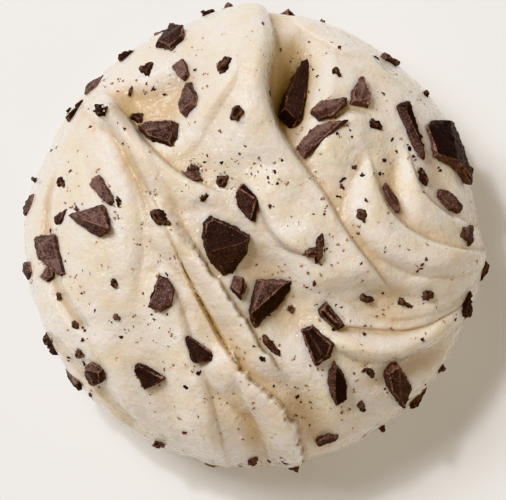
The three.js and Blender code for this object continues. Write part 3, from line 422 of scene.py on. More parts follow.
def lattice_noise(points, size, seed=0.0):
    """Smooth noise between -1 and 1. Each corner of a cubic lattice of the given
    size holds a drawn number, and a point takes the eased mean of its eight corners."""
    scaled = np.asarray(points, float) / size + 137.0 * (seed + 1)
    cell = np.floor(scaled)
    share = scaled - cell
    share = share * share * share * (share * (share * 6 - 15) + 10)
    total = 0.0
    for corner in np.ndindex(2, 2, 2):
        value = 2 * scrambled((cell + corner) @ np.array([12.9898, 78.233, 37.719])) - 1
        weight = np.prod(np.where(np.array(corner) == 1, share, 1 - share), axis=-1)
        total = total + value * weight
    return total


def rough_noise(points, size, octaves=3, seed=0.0):
    """Sum of lattice noises, each half the size and half the height of the last."""
    total = 0.0
    for k in range(octaves):
        total = total + 0.5 ** k * lattice_noise(points, size * 0.5 ** k, seed + 5.0 * k)
    return total


# ---- The mound's plain profile -----------------------------------------------
def mound_profile(sizes):
    """Rows of way down the skin, distance out and height, from the top's centre to
    the foot. The upper part is a superellipse with a parabolic crown; below the
    widest line the skin turns under on part of an ellipse."""
    turn = np.linspace(0, 90, WIDEST_ROW + 1) * DEGREE
    across = np.sin(turn) / sizes.radius
    along = np.cos(turn) / sizes.shoulder
    reach = (across ** sizes.roundness + along ** sizes.roundness) ** (-1 / sizes.roundness)
    out = reach * np.sin(turn)
    crown = sizes.dome * (1 - (out / sizes.radius) ** 2)
    up = sizes.waist + reach * np.cos(turn) + crown
    under = np.linspace(0, sizes.foot_turn, 61)[1:] * DEGREE
    last = sizes.foot_turn * DEGREE
    inward = (1 - np.cos(under)) / (1 - np.cos(last))
    out = np.concatenate([out, sizes.radius - sizes.tuck * inward])
    up = np.concatenate([up, sizes.waist * (1 - np.sin(under) / np.sin(last))])
    step = np.hypot(np.diff(out), np.diff(up))
    down = np.concatenate([[0.0], np.cumsum(step)])
    return down, out, up


# ---- Relief on the unrolled skin ---------------------------------------------
def beside(route, x, y):
    """How far points lie to the left of a route, how far along its chord, the chord's
    length, and the way to the left there. The route is a cubic through its points over
    the chord, and its ends run straight on."""
    points = np.asarray(route, float)
    chord = points[-1] - points[0]
    length = np.hypot(*chord)
    ahead = chord / length
    way = points - points[0]
    knots = way @ ahead
    aside = way[:, 1] * ahead[0] - way[:, 0] * ahead[1]
    slopes = np.gradient(aside, knots)
    along = (x - points[0, 0]) * ahead[0] + (y - points[0, 1]) * ahead[1]
    side = (y - points[0, 1]) * ahead[0] - (x - points[0, 0]) * ahead[1]
    i = np.clip(np.searchsorted(knots, along) - 1, 0, len(knots) - 2)
    span = knots[i + 1] - knots[i]
    raw = (along - knots[i]) / span
    t = np.clip(raw, 0, 1)
    value = (aside[i] * (1 + 2 * t) * (1 - t) ** 2 + aside[i + 1] * t * t * (3 - 2 * t)
             + span * (slopes[i] * t * (1 - t) ** 2 + slopes[i + 1] * t * t * (t - 1)))
    slope = ((aside[i] - aside[i + 1]) * (6 * t * t - 6 * t) / span
             + slopes[i] * (1 - 4 * t + 3 * t * t) + slopes[i + 1] * (3 * t * t - 2 * t))
    middle = value + slope * (raw - t) * span
    scale = np.hypot(1, slope)
    leftward = ((-ahead[1] - slope * ahead[0]) / scale, (ahead[0] - slope * ahead[1]) / scale)
    return (side - middle) / scale, along, length, leftward


def stroke_parts(stroke, x, y):
    """Signed place across a stroke, way along it, its strength, how far it has changed,
    the width and bluntness of the side that each point lies on, and the way left."""
    left, along, length, leftward = beside(stroke["route"], x, y)
    fade_in, fade_out = stroke["fades"]
    strength = np.ones_like(along)
    if fade_in > 0:
        strength = strength * ease(along / fade_in)
    if fade_out > 0:
        strength = strength * ease((length - along) / fade_out)
    first, last = stroke.get("change", (0, 1))
    share = ease((along / length - first) / (last - first))
    crinkle = stroke.get("crinkle", 0)
    if crinkle:
        line = np.stack([along, np.zeros_like(along), np.zeros_like(along)], axis=-1)
        waves = rough_noise(line, 2.8, 2, 2) + 0.9 * np.abs(lattice_noise(line, 1.1, 6))
        left = left + crinkle * waves * np.exp(-(left / CRINKLE_REACH) ** 2)
    sides = [side if len(side) == 4 else 2 * side for side in (stroke["left"], stroke["right"])]
    widths = [between(side[::2], share) for side in sides]
    blunt = [between(side[1::2], share) for side in sides]
    if "foot" in stroke:
        left = left + (widths[0] if stroke["foot"] == "left" else -widths[1])
    width = np.where(left > 0, *widths) * (FAINT_WIDTH + (1 - FAINT_WIDTH) * strength)
    bluntness = np.where(left > 0, *blunt)
    return left, along, strength, share, width, bluntness, leftward


def stroke_height(stroke, x, y):
    """Height of one stroke: rise times (1 - (distance / width) squared) to the power
    of the side's bluntness, faded at the ends."""
    left, _, strength, share, width, bluntness, _ = stroke_parts(stroke, x, y)
    reach = np.clip(np.abs(left) / width, 0, 1)
    rise = between(np.broadcast_to(stroke["rise"], 2), share)
    return rise * strength * (1 - reach * reach) ** bluntness


def swell_height(swell, x, y):
    """Height of one swell: rise times (1 - elliptical distance squared) to the 2.5."""
    cos, sin = cos_sin(swell["turn"])
    dx = x - swell["at"][0]
    dy = y - swell["at"][1]
    along = (cos * dx + sin * dy) / swell["half"][0]
    across = (cos * dy - sin * dx) / swell["half"][1]
    return swell["rise"] * np.clip(1 - along * along - across * across, 0, 1) ** 2.5


def drag_lines(x, y):
    """Faint lines that run along each ridge: noise that is short across the ridge and
    long along it, over the ridge's soft side."""
    height = np.zeros_like(x)
    for number, stroke in enumerate(STROKES):
        if np.max(stroke["rise"]) < 0:
            continue
        left, along, strength, _, width, _, _ = stroke_parts(stroke, x, y)
        within = strength * ease(1.25 - np.abs(left) / width) * ease(np.abs(left) / 0.8)
        places = np.stack([left, along / DRAG_STRETCH, np.full_like(left, 3.7 * number)], axis=-1)
        height += within * lattice_noise(places, DRAG_WIDTH, number)
    return height


def fold_height(x, y):
    """Sum of all strokes and swells; those in the east end at the centre fold's lip."""
    east = ease((beside(CENTRE_ROUTE, x, y)[0] + 1.0) / 1.4)
    height = np.zeros_like(x)
    for form in STROKES + SWELLS:
        lift = stroke_height if "route" in form else swell_height
        height += lift(form, x, y) * (east if "east" in form else 1)
    return height


def layer_reach(down, bearing):
    """How far the layers stand out of the flank: each is steep below its wandering
    middle line and soft above it, and fades over its first and last degrees."""
    reach = np.zeros_like(down)
    for layer in LAYERS:
        turned = (bearing / DEGREE - layer["start"]) % 360
        strength = ease(turned / LAYER_FADE) * ease((layer["end"] - layer["start"] - turned) / LAYER_FADE)
        line = layer["down"] + layer["wander"] * np.sin(layer["waves"] * bearing + layer["phase"])
        below = down - line
        width = np.where(below > 0, layer["steep"], layer["soft"])
        bluntness = np.where(below > 0, *LAYER_BLUNTNESS)
        share = np.clip(np.abs(below) / width, 0, 1)
        reach += layer["rise"] * strength * (1 - share * share) ** bluntness
    return reach


class Skin:
    """The folded skin of the mound, as a function of its unrolled x and y."""

    def __init__(self, sizes):
        self.down, self.out, self.up = mound_profile(sizes)
        self.length = self.down[-1]
        self.widest = self.down[WIDEST_ROW]
        self.radius = sizes.radius

    def points(self, x, y, lumps=0.0):
        """Points of the skin: the profile turned round the axis, lifted by the folds
        over the top and pushed out a little on the flank. Lumps is extra height."""
        down = np.minimum(np.hypot(x, y), self.length)
        bearing = np.arctan2(y, x)
        fold = fold_height(x, y)
        to_foot = (down - self.widest) / (self.length - self.widest)
        upward = 1 - ease((down - RIM_REACH) / (self.length - RIM_REACH - FOOT_CALM))
        flank = ease((down - TOP_REACH) / TURN_REACH)
        out = np.interp(down, self.down, self.out) + FLANK_SHARE * flank * fold
        out += layer_reach(down, bearing) * (1 - 0.5 * ease(to_foot)) + flank * lumps
        up = np.interp(down, self.down, self.up) + upward * (fold + (1 - flank) * lumps)
        return np.stack([out * np.cos(bearing), out * np.sin(bearing), up], axis=-1)

    def unroll(self, x, y):
        """The place on the unrolled skin of points given in plan."""
        out = np.minimum(np.hypot(x, y), self.radius - 0.05)
        down = np.interp(out, self.out[:WIDEST_ROW + 1], self.down[:WIDEST_ROW + 1])
        scale = down / np.maximum(np.hypot(x, y), 1e-6)
        return x * scale, y * scale

    def frames(self, x, y, step):
        """Point, eastward and northward slopes and outward normal of the skin, each
        slope taken across twice the step."""
        across = 2 * step[:, None]
        east = (self.points(x + step, y) - self.points(x - step, y)) / across
        north = (self.points(x, y + step) - self.points(x, y - step)) / across
        return self.points(x, y), east, north, unit(np.cross(east, north))


# ---- Meshes ------------------------------------------------------------------
def new_piece(name, points, faces, material, attributes):
    """Makes a smooth object from points in millimetres, quads, and the attributes that
    its material reads at each point, and sets it to ride on the one body."""
    mesh = bpy.data.meshes.new(name)
    faces = np.asarray(faces, np.int32)
    mesh.vertices.add(len(points))
    mesh.vertices.foreach_set("co", (np.asarray(points) * METRE).astype(np.float32).ravel())
    mesh.loops.add(faces.size)
    mesh.loops.foreach_set("vertex_index", faces.ravel())
    mesh.polygons.add(len(faces))
    mesh.polygons.foreach_set("loop_start", np.arange(0, faces.size, 4, dtype=np.int32))
    mesh.polygons.foreach_set("use_smooth", np.full(len(faces), True))
    mesh.update(calc_edges=True)
    for key, values in attributes.items():
        layer = mesh.attributes.new(key, "FLOAT", "POINT")
        layer.data.foreach_set("value", np.asarray(values, np.float32).ravel())
    mesh.validate()
    mesh.materials.append(material)
    piece = bpy.data.objects.new(name, mesh)
    bpy.context.scene.collection.objects.link(piece)
    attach(piece, "root")
    return piece


def skin_grid(skin, cells):
    """Unrolled places of a square grid whose square rings become rings round the top:
    the ring number gives the way down the skin, and the place along it the bearing."""
    half = cells / 2
    b, a = np.meshgrid(*(2 * [(np.arange(cells + 1) - half) / half]), indexing="ij")
    wide = np.abs(a) > np.abs(b)
    ring = np.maximum(np.abs(a), np.abs(b))
    safe = np.where(ring == 0, 1.0, ring)
    quarter = 45 * DEGREE * np.where(wide, b, a) / np.where(wide, a, np.where(b == 0, safe, b))
    bearing = np.where(wide, quarter + np.pi * (a < 0), np.pi / 2 - quarter + np.pi * (b < 0))
    down = skin.length * (TOP_SHARE * ring + (1 - TOP_SHARE) * ring ** CROWD)
    return (down * np.cos(bearing)).ravel(), (down * np.sin(bearing)).ravel()


def crowd_to_lips(x, y):
    """Draws grid points towards the steep lips, so that the lips are cut cleanly. A
    point at distance s from a lip's middle moves towards it by s exp(-(s / reach)
    squared) times the pull, and less and less where the top ends."""
    for stroke in STROKES:
        if "foot" not in stroke:
            continue
        left, _, strength, _, width, _, leftward = stroke_parts(stroke, x, y)
        off = left - (1 if stroke["foot"] == "left" else -1) * LIP_MIDDLE * width
        calm = 1 - ease((np.hypot(x, y) - CALM_REACH) / CALM_FADE)
        pull = -LIP_PULL * off * np.exp(-(off / LIP_REACH) ** 2) * strength * calm
        x = x + pull * leftward[0]
        y = y + pull * leftward[1]
    return x, y


def grid_faces(cells):
    """Quads of a square grid of points, row by row."""
    row = cells + 1
    corner = (np.arange(cells)[:, None] * row + np.arange(cells)[None, :]).ravel()
    return np.stack([corner, corner + 1, corner + row + 1, corner + row], axis=1)


def foot_faces(cells, middle):
    """Fan that closes the grid's outer edge to one middle point, facing down. Each
    fan face is a quad with its last corner at the middle and one edge split."""
    row = cells + 1
    k = np.arange(0, cells, 2)
    south = [k + 2, k + 1, k]
    north = [cells * row + k, cells * row + k + 1, cells * row + k + 2]
    west = [k * row, (k + 1) * row, (k + 2) * row]
    east = [corner + cells for corner in west[::-1]]
    sides = (south, north, west, east)
    return np.concatenate([np.stack([*side, np.full_like(k, middle)], axis=1) for side in sides])


def globe_grid(cells):
    """Directions and quads of a cube whose six faces are grids, pushed out to a unit
    globe, with the shared edges merged."""
    line = np.tan(np.linspace(-np.pi / 4, np.pi / 4, cells + 1))
    u, v = [g.ravel() for g in np.meshgrid(line, line, indexing="ij")]
    one = np.ones_like(u)
    sides = [(one, u, v), (-one, v, u), (v, one, u), (u, -one, v), (u, v, one), (v, u, -one)]
    points = np.concatenate([np.stack(side, axis=1) for side in sides])
    quads = grid_faces(cells)[:, [0, 3, 2, 1]]
    faces = np.concatenate([quads + k * (cells + 1) ** 2 for k in range(6)])
    _, first, place = np.unique(np.round(points, 6), axis=0, return_index=True, return_inverse=True)
    return unit(points[first]), place.ravel()[faces]


def broken_solid(normals, offsets, directions, half, grain, seed):
    """Surface of a convex solid given by its side planes, seen from its inside point at
    the origin. The directions start out evenly spread round an ellipsoid of the given
    half sizes. Along each, the distance is the smooth least of the distances to the
    planes; the point is then moved along the blended side normal: by broad and short
    noise over the faces, and inwards by teeth along the sharp edges. The way from an
    edge is the slack to the second nearest plane over the sine of the angle between
    the two. Returns the points, how worn each is, from 0 to 1, and the share that each
    plane has in each point."""
    rays = unit(directions @ half)
    facing = rays @ normals.T
    distance = np.where(facing > 1e-3, offsets / np.maximum(facing, 1e-3), 1e3)
    least = distance.min(axis=1, keepdims=True)
    weight = np.exp(-(distance - least) / EDGE_SOFTNESS)
    total = weight.sum(axis=1, keepdims=True)
    points = rays * (least - EDGE_SOFTNESS * np.log(total))
    share = weight / total
    blended = share @ normals
    slack = offsets - (rays * least) @ normals.T
    order = np.argsort(slack, axis=1)
    second = np.take_along_axis(slack, order[:, 1:2], axis=1)[:, 0]
    cosine = np.sum(normals[order[:, 0]] * normals[order[:, 1]], axis=1)
    sharp = ease((0.96 - cosine) / 0.3)
    from_edge = second / np.sqrt(np.maximum(1 - cosine * cosine, 0.02))
    worn = sharp * (1 - ease((from_edge - WORN_FROM) / WORN_FADE))
    chipped = ease((0.93 - cosine) / 0.5) * (1 - ease(from_edge / (1.1 * grain)))
    steep = 1 - ease((np.abs(blended[:, 2]) - 0.55) / 0.3)
    broad = rough_noise(points, 3.0 * grain, 2, seed)
    short = rough_noise(points, 0.9 * grain, 3, seed + 3)
    rows = 0.5 + 0.5 * lattice_noise(points, 3.4 * grain, seed + 5)
    teeth = 0.45 * np.abs(lattice_noise(points, 1.4 * grain, seed + 7))
    teeth = teeth + (0.2 + 1.3 * rows * rows) * np.abs(lattice_noise(points, 0.7, seed + 9))
    move = 0.17 * broad + (0.07 + 0.13 * steep) * short - chipped * (teeth - 0.3)
    return points + blended * (grain * move)[:, None], worn, share


def facet_dust_and_lit_side(normals, dust, seed):
    """How pale each side plane of a piece is, partly real dust and partly painted light.
    Faces that look up take the first or second number by how they lean over the bearing,
    with a drawn part each, so that where the bearing lies towards the light the faces
    leaning towards it are painted paler; the sides take a drawn share."""
    away, towards, bearing = dust
    cos, sin = cos_sin(bearing)
    lean = cos * normals[:, 0] + sin * normals[:, 1]
    drawn = draw(seed + 3.0 * np.arange(len(normals)))
    level = between((away, towards), ease(0.45 + 2.6 * lean))
    looks_up = ease((normals[:, 2] - 0.2) / 0.2)
    return looks_up * level * (0.75 + 0.5 * drawn) + (1 - looks_up) * (0.1 + 0.5 * drawn)


def values_of(items, key, width):
    """One value of each of a mesh's vertices or faces, as rows of the given width."""
    values = np.empty(len(items) * width)
    items.foreach_get(key, values)
    return values.reshape(-1, width)


def solid_sides(node):
    """A convex CAD solid in millimetres: its middle, a matrix that stretches a globe to
    about its half sizes, and each different face's normal and way from the middle."""
    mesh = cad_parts[node].data
    places = values_of(mesh.vertices, "co", 3) / METRE
    real = values_of(mesh.polygons, "area", 1)[:, 0] > 1e-10
    normals = values_of(mesh.polygons, "normal", 3)[real]
    centres = values_of(mesh.polygons, "center", 3)[real] / METRE
    middle = places.mean(axis=0)
    offsets = np.einsum("ij,ij->i", normals, centres - middle)
    keys = np.round(np.column_stack([normals * 50, offsets * 10]))
    first = np.unique(keys, axis=0, return_index=True)[1]
    spread, axes = np.linalg.eigh(np.cov((places - middle).T))
    half = (axes * np.sqrt(np.maximum(spread, 0.05))) @ axes.T
    return middle, half, normals[first], offsets[first]


def chip_outline(length, width, turn, seed):
    """Uneven corners round an ellipse of the given length and width."""
    k = np.arange(CHIP_CORNERS)
    angle = (k + 0.7 * (draw(seed + k) - 0.5)) * 360 / CHIP_CORNERS * DEGREE
    along = CHIP_REACH * length * np.cos(angle)
    across = CHIP_REACH * width * np.sin(angle)
    cos, sin = cos_sin(turn)
    return np.stack([along * cos - across * sin, along * sin + across * cos], axis=1)


def chip_sides(corners):
    """Planes of a chip in its own frame: a leaning side on each edge of its outline, a
    flat broken face above and an underside below."""
    ahead = np.roll(corners, -1, axis=0) - corners
    flat = unit(np.stack([ahead[:, 1], -ahead[:, 0]], axis=1))
    normals = unit(np.column_stack([flat, np.full(len(flat), CHIP_LEAN)]))
    offsets = np.einsum("ij,ij->i", normals[:, :2], corners)
    normals = np.vstack([normals, unit(np.array([CHIP_TOP])), [0, 0, -1.0]])
    return normals, np.append(offsets, [CHIP_RISE, CHIP_SINK])


def round_the_flank(count, down, length, slender, seed):
    """Spreads pieces round the flank, one to each equal sector, at a drawn height.
    Gives their unrolled places, lengths, widths, turns and seeds."""
    start = seed + 10 * np.arange(count)
    bearing = 360 * (np.arange(count) + 0.15 + 0.7 * draw(start)) / count * DEGREE
    way = between(down, draw(start + 1))
    size = between(length, draw(start + 2))
    width = size * between(slender, draw(start + 3))
    return way * np.cos(bearing), way * np.sin(bearing), size, width, 180 * draw(start + 4), start


# ---- Materials ---------------------------------------------------------------
class Nodes:
    """Short hand for building one material's node tree."""

    def __init__(self, name):
        self.material = bpy.data.materials.new(name)
        self.material.use_nodes = True
        self.tree = self.material.node_tree
        self.tree.nodes.clear()
        place = self.add("ShaderNodeTexCoord").outputs["Object"]
        place = self.add("ShaderNodeMapping", {"Vector": place, "Scale": 3 * (1 / METRE,)})
        self.millimetres = place.outputs["Vector"]
        self.shader = self.add("ShaderNodeBsdfPrincipled")
        self.add("ShaderNodeOutputMaterial", {"Surface": self.shader.outputs["BSDF"]})

    def feed(self, node, inputs):
        """Sets a node's inputs by name or number, each to a value or another's socket."""
        for key, value in inputs.items():
            if hasattr(value, "is_linked"):
                self.tree.links.new(value, node.inputs[key])
            else:
                node.inputs[key].default_value = value

    def add(self, kind, inputs=None, **settings):
        node = self.tree.nodes.new(kind)
        for key, value in settings.items():
            setattr(node, key, value)
        self.feed(node, inputs or {})
        return node

    def noise(self, size, detail=2, rough=0.5):
        """Noise between 0 and 1 with features of the given size in millimetres."""
        inputs = {"Scale": 1 / size, "Detail": detail, "Roughness": rough, "Vector": self.millimetres}
        return self.add("ShaderNodeTexNoise", inputs).outputs["Fac"]

    def span(self, value, low, high, to_low=0.0, to_high=1.0):
        """Carries the range low to high over to another, smoothly and held at its ends."""
        inputs = {"Value": value, "From Min": low, "From Max": high, "To Min": to_low, "To Max": to_high}
        return self.add("ShaderNodeMapRange", inputs, interpolation_type="SMOOTHSTEP").outputs["Result"]

    def spots(self, size, radius):
        """Spots scattered about one size apart: 0 beyond the radius, which is a share of
        the size, and 1 from 0.4 radius inwards."""
        node = self.add("ShaderNodeTexVoronoi", {"Scale": 1 / size, "Vector": self.millimetres})
        return self.span(node.outputs["Distance"], radius, 0.4 * radius)

    def maths(self, operation, first, second):
        return self.add("ShaderNodeMath", {0: first, 1: second}, operation=operation).outputs["Value"]

    def times(self, first, second):
        return self.maths("MULTIPLY", first, second)

    def plus(self, first, second):
        return self.maths("ADD", first, second)

    def attribute(self, name):
        return self.add("ShaderNodeAttribute", attribute_name=name).outputs["Fac"]

    def coats(self, colour, layers):
        """A colour under layers, each given by its share and its colour."""
        under = (*colour, 1)
        for share, tone in layers:
            inputs = {"Factor": share, 6: under, 7: (*tone, 1)}
            under = self.add("ShaderNodeMix", inputs, data_type="RGBA").outputs[2]
        return under

    def bump(self, height, distance, below=None):
        """Bump of a height in millimetres, on top of another bump."""
        inputs = {"Distance": distance * METRE, "Height": height}
        if below is not None:
            inputs["Normal"] = below
        return self.add("ShaderNodeBump", inputs).outputs["Normal"]

    def shaded(self, inputs):
        """Feeds the shader and gives the material."""
        self.feed(self.shader, inputs)
        return self.material


def gelato_material(finish):
    """Ivory gelato: two tones in soft patches, painted shade in a darker, warmer honey tone in
    the hollows and beside two creases, tan flecks under the skin, a cocoa stain round the
    chocolate, amber with dark bits in the long crease, and a pebbled skin under a moist coat."""
    make = Nodes("soft_gelato")
    line = make.attribute("amber")
    colour = make.coats(finish.ivory, [
        (make.span(make.noise(8, 3), 0.38, 0.68, 0, 0.8), finish.cream),
        # painted shade: the honey tone darkens the hollows and the bands beside two creases
        (make.times(make.attribute("hollow"), 0.85), finish.painted_hollow_shade),
        (make.times(make.spots(2.1, 0.15), make.span(make.noise(7), 0.45, 0.6, 0, 0.5)), finish.fleck),
        (make.times(make.spots(0.8, 0.2), make.span(make.noise(4), 0.5, 0.65, 0, 0.3)), finish.fleck),
        (make.attribute("stain"), finish.stain),
        (make.times(line, make.span(make.noise(2.6, 3), 0.3, 0.55, 0.2, 0.9)), finish.amber),
        (make.times(make.span(line, 0.45, 0.9), make.span(make.noise(1.3, 3, 0.6), 0.44, 0.54, 0, 0.9)),
         finish.dark_amber),
    ])
    shine = make.span(make.noise(1.4, 3), 0.3, 0.7, finish.roughness - 0.12, finish.roughness + 0.14)
    pebbles = make.bump(make.noise(0.7, 3, 0.6), 0.24, make.bump(make.noise(2.2), 0.3))
    return make.shaded({
        "Base Color": colour, "Roughness": shine, "Normal": pebbles, "IOR": 1.4,
        "Subsurface Weight": 0.6, "Subsurface Radius": (1.0, 0.64, 0.34), "Subsurface Scale": 2.4 * METRE,
        "Coat Weight": 0.85, "Coat Roughness": 0.1, "Coat Normal": make.bump(make.noise(1.7, 3), 0.75),
    })


def chocolate_material(finish):
    """Dark chocolate: paler faces, partly dust and partly painted light on the faces that
    lean towards the key lamp, with a fine pale grain, worn edges, pale crumbs and a grainy
    break."""
    make = Nodes("broken_chocolate")
    dust = make.attribute("dust")
    patches = make.plus(make.span(make.noise(2.2, 3, 0.6), 0.36, 0.64, 0.25, 0.8),
                        make.span(make.noise(0.5, 3, 0.65), 0.4, 0.62, 0, 0.45))
    grain = make.span(make.noise(0.28, 2, 0.7), 0.55, 0.68, 0, 0.85)
    rubbed = make.span(make.noise(1.3, 3, 0.6), 0.32, 0.56, 0.08, 0.95)
    colour = make.coats(finish.dark, [
        # dust and painted light: the paler colour, and more crumbs, on dusty faces and on faces that lean
        # towards the key lamp
        (make.times(dust, patches), finish.bloom_and_lit_side),
        (make.times(grain, make.span(dust, 0, 0.6, 0.1, 0.9)), finish.crumb),
        (make.times(make.attribute("edge"), rubbed), finish.edge),
        (make.times(make.spots(1.0, 0.15), make.span(make.noise(2), 0.5, 0.6, 0, 0.9)), finish.crumb),
    ])
    shine = make.span(make.noise(0.8, 3), 0.3, 0.7, finish.roughness - 0.14, finish.roughness + 0.12)
    return make.shaded({
        "Base Color": colour, "Roughness": shine, "Normal": make.bump(make.noise(0.6, 4, 0.75), 0.4),
        "IOR": 1.42, "Specular IOR Level": 0.35,
    })


def speck_material(finish):
    """Fine cocoa specks: dark, reddish where they are thin, and tan under the skin."""
    make = Nodes("cocoa_speck")
    shade = make.attribute("shade")
    layers = [(make.span(shade, 0.0, 0.5), finish.thin), (make.span(shade, 0.5, 1.0), finish.tan)]
    return make.shaded({"Base Color": make.coats(finish.dark, layers), "Roughness": 0.5})


def floor_material(colour):
    """Plain pale floor with a faint unevenness in its roughness."""
    make = Nodes("pale_floor")
    uneven = make.span(make.noise(40), 0.3, 0.7, 0.7, 0.85)
    return make.shaded({"Base Color": (*colour, 1), "Roughness": uneven})


def shared_material(name, make, finish):
    """The named material, made once."""
    return bpy.data.materials.get(name) or make(finish)


# ---- Operators ---------------------------------------------------------------
def near_chocolate(points, reach):
    """Nearness of points to the large chocolate pieces: one at a piece's side, falling
    to 0 over the reach. A point's distance is the largest of its distances to the
    piece's side planes."""
    near = np.zeros(len(points))
    for node in chocolate_nodes():
        middle, _, normals, offsets = solid_sides(node)
        size = np.linalg.norm(np.subtract(*[np.array(c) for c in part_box(node)])) / METRE
        close = np.flatnonzero(np.linalg.norm(points - middle, axis=1) < 0.5 * size + reach)
        if len(close) == 0:
            continue
        distance = ((points[close] - middle) @ normals.T - offsets).max(axis=1)
        near[close] = np.maximum(near[close], np.exp(-(np.maximum(distance, 0) / reach) ** 2))
    return near


def chocolate_nodes():
    """Names of the large chocolate pieces in the frame."""
    return sorted(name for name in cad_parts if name.startswith("chocolate_"))


def long_crease(x, y):
    """Strength of the amber line along the long crease, strongest at its bottom and
    past the middle of its way."""
    left, along, length, _ = beside(CREASE_ROUTE, x, y)
    ends = ease(along / 6) * ease((length + 4 - along) / 6)
    late = ease((along / length - 0.45) / 0.2)
    return np.exp(-(left / AMBER_WIDTH) ** 2) * ends * (0.55 + 0.45 * late)


def painted_shade_band(route, x, y, wide):
    """Strength of the band of painted shade beside a crease: a bell of the given width."""
    left, along, length, _ = beside(route, x, y)
    return np.exp(-(left / wide) ** 2) * ease(along / 8) * ease((length + 6 - along) / 8)


def painted_shade_depth(height, cells):
    """How deep in a fold each grid point lies, from 0 to 1: the mean height of a ring of
    grid points round it, less its own height, on several scales. It says where shade is
    painted in the honey tone."""
    own = height.reshape(cells + 1, cells + 1)
    deep = np.zeros_like(own)
    for reach, full, share in PAINTED_SHADE_SCALES:
        wide = np.pad(own, reach, mode="edge")
        ring = 0.0
        for turn in np.arange(8) * 45 * DEGREE:
            i = reach + int(round(reach * np.cos(turn)))
            j = reach + int(round(reach * np.sin(turn)))
            ring = ring + wide[i:i + cells + 1, j:j + cells + 1] / 8
        deep = np.maximum(deep, share * ease((ring - own) / full))
    return deep.ravel()


class GELATO_OT_mound(bpy.types.Operator):
    """Folded mound of gelato, made as one fine skin"""

    bl_idname = "gelato.mound"
    bl_label = "Mound"

    def execute(self, context):
        sizes = context.scene.gelato_mound
        skin = Skin(sizes)
        cells = sizes.cells
        x, y = crowd_to_lips(*skin_grid(skin, cells))
        flat = np.stack([x, y, np.zeros_like(x)], axis=1)
        lumps = sum(height * rough_noise(flat, size, 2, seed) for height, size, seed in LUMPS)
        points = skin.points(x, y, lumps + DRAG_HEIGHT * drag_lines(x, y))
        near = near_chocolate(points, STAIN_REACH)
        points = np.vstack([points, [0, 0, 0]])
        faces = np.concatenate([grid_faces(cells), foot_faces(cells, len(points) - 1)])
        # painted shade: the honey tone is laid into the hollows and beside two creases through the hollow
        # attribute
        bands = sum(share * painted_shade_band(route, x - aside, y, wide)
                    for route, aside, wide, share in PAINTED_SHADE_BANDS)
        painted_shade_mask = np.minimum(painted_shade_depth(fold_height(x, y), cells) + bands, 1)
        attributes = {"amber": long_crease(x, y), "stain": STAIN_SHARE * near, "hollow": painted_shade_mask}
        attributes = {key: np.append(values, 0) for key, values in attributes.items()}
        material = shared_material("soft_gelato", gelato_material, context.scene.gelato_finish)
        piece = new_piece("soft_gelato", points, faces, material, attributes)
        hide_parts("gelato")
        return {"FINISHED"}


class GELATO_OT_large_pieces(bpy.types.Operator):
    """Large broken pieces of chocolate, each in the place of its solid"""

    bl_idname = "gelato.large_pieces"
    bl_label = "Large chocolate pieces"

    def execute(self, context):
        grids = [globe_grid(cells) for cells in PIECE_CELLS]
        material = shared_material("broken_chocolate", chocolate_material, context.scene.chocolate_finish)
        for number, node in enumerate(chocolate_nodes()):
            middle, half, normals, offsets = solid_sides(node)
            directions, faces = grids[int(np.linalg.det(half) > MAJOR_PIECE)]
            points, edge, share = broken_solid(normals, offsets, directions, half, 1.0, number)
            name = node.replace("chocolate_", "")
            # paleness of each face: dust, and painted light on faces that lean towards the key lamp
            dust = share @ facet_dust_and_lit_side(normals, DUST_AND_LIT_SIDE.get(name, USUAL_DUST_AND_LIT_SIDE), number)
            attributes = {"edge": edge, "dust": dust}
            piece = new_piece(f"broken_{name}", points + middle, faces, material, attributes)
            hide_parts(node)
        return {"FINISHED"}


class GELATO_OT_small_chips(bpy.types.Operator):
    """Small chips of chocolate, joined into one piece"""

    bl_idname = "gelato.small_chips"
    bl_label = "Small chips"

    def execute(self, context):
        skin = Skin(context.scene.gelato_mound)
        shown = np.array(CHIPS, float)
        x, y = skin.unroll(shown[:, 0], shown[:, 1])
        shown = np.column_stack([x, y, shown[:, 2:], CHIP_SEED + 10 * np.arange(len(shown))])
        flank = np.column_stack(round_the_flank(**FLANK_CHIPS, seed=FLANK_SEED))
        chips = np.vstack([shown, flank])
        directions, faces = globe_grid(CHIP_CELLS)
        step = np.maximum(0.3 * chips[:, 2], 1.0)
        origin, east, north, normal = skin.frames(chips[:, 0], chips[:, 1], step)
        parts = []
        edges = []
        for i, (_, _, length, width, turn, seed) in enumerate(chips):
            sides = chip_sides(chip_outline(length, width, turn, seed))
            cos, sin = cos_sin(turn)
            turned = np.array([[cos, sin, 0], [-sin, cos, 0], [0, 0, 1]])
            half = turned.T @ np.diag([0.5 * length, 0.5 * width, CHIP_RISE]) @ turned
            local, edge, _ = broken_solid(*sides, directions, half, CHIP_GRAIN, seed)
            place = np.stack([east[i], north[i], normal[i]])
            parts.append(local @ place + origin[i])
            edges.append(CHIP_WEAR * edge)
        count = len(directions)
        all_faces = np.concatenate([faces + k * count for k in range(len(parts))])
        material = shared_material("broken_chocolate", chocolate_material, context.scene.chocolate_finish)
        dust = np.repeat(CHIP_DUST * (0.4 + 3.6 * draw(chips[:, 5] + 9) ** 3), count)
        attributes = {"edge": np.concatenate(edges), "dust": dust}
        new_piece("small_chips", np.concatenate(parts), all_faces, material, attributes)
        return {"FINISHED"}


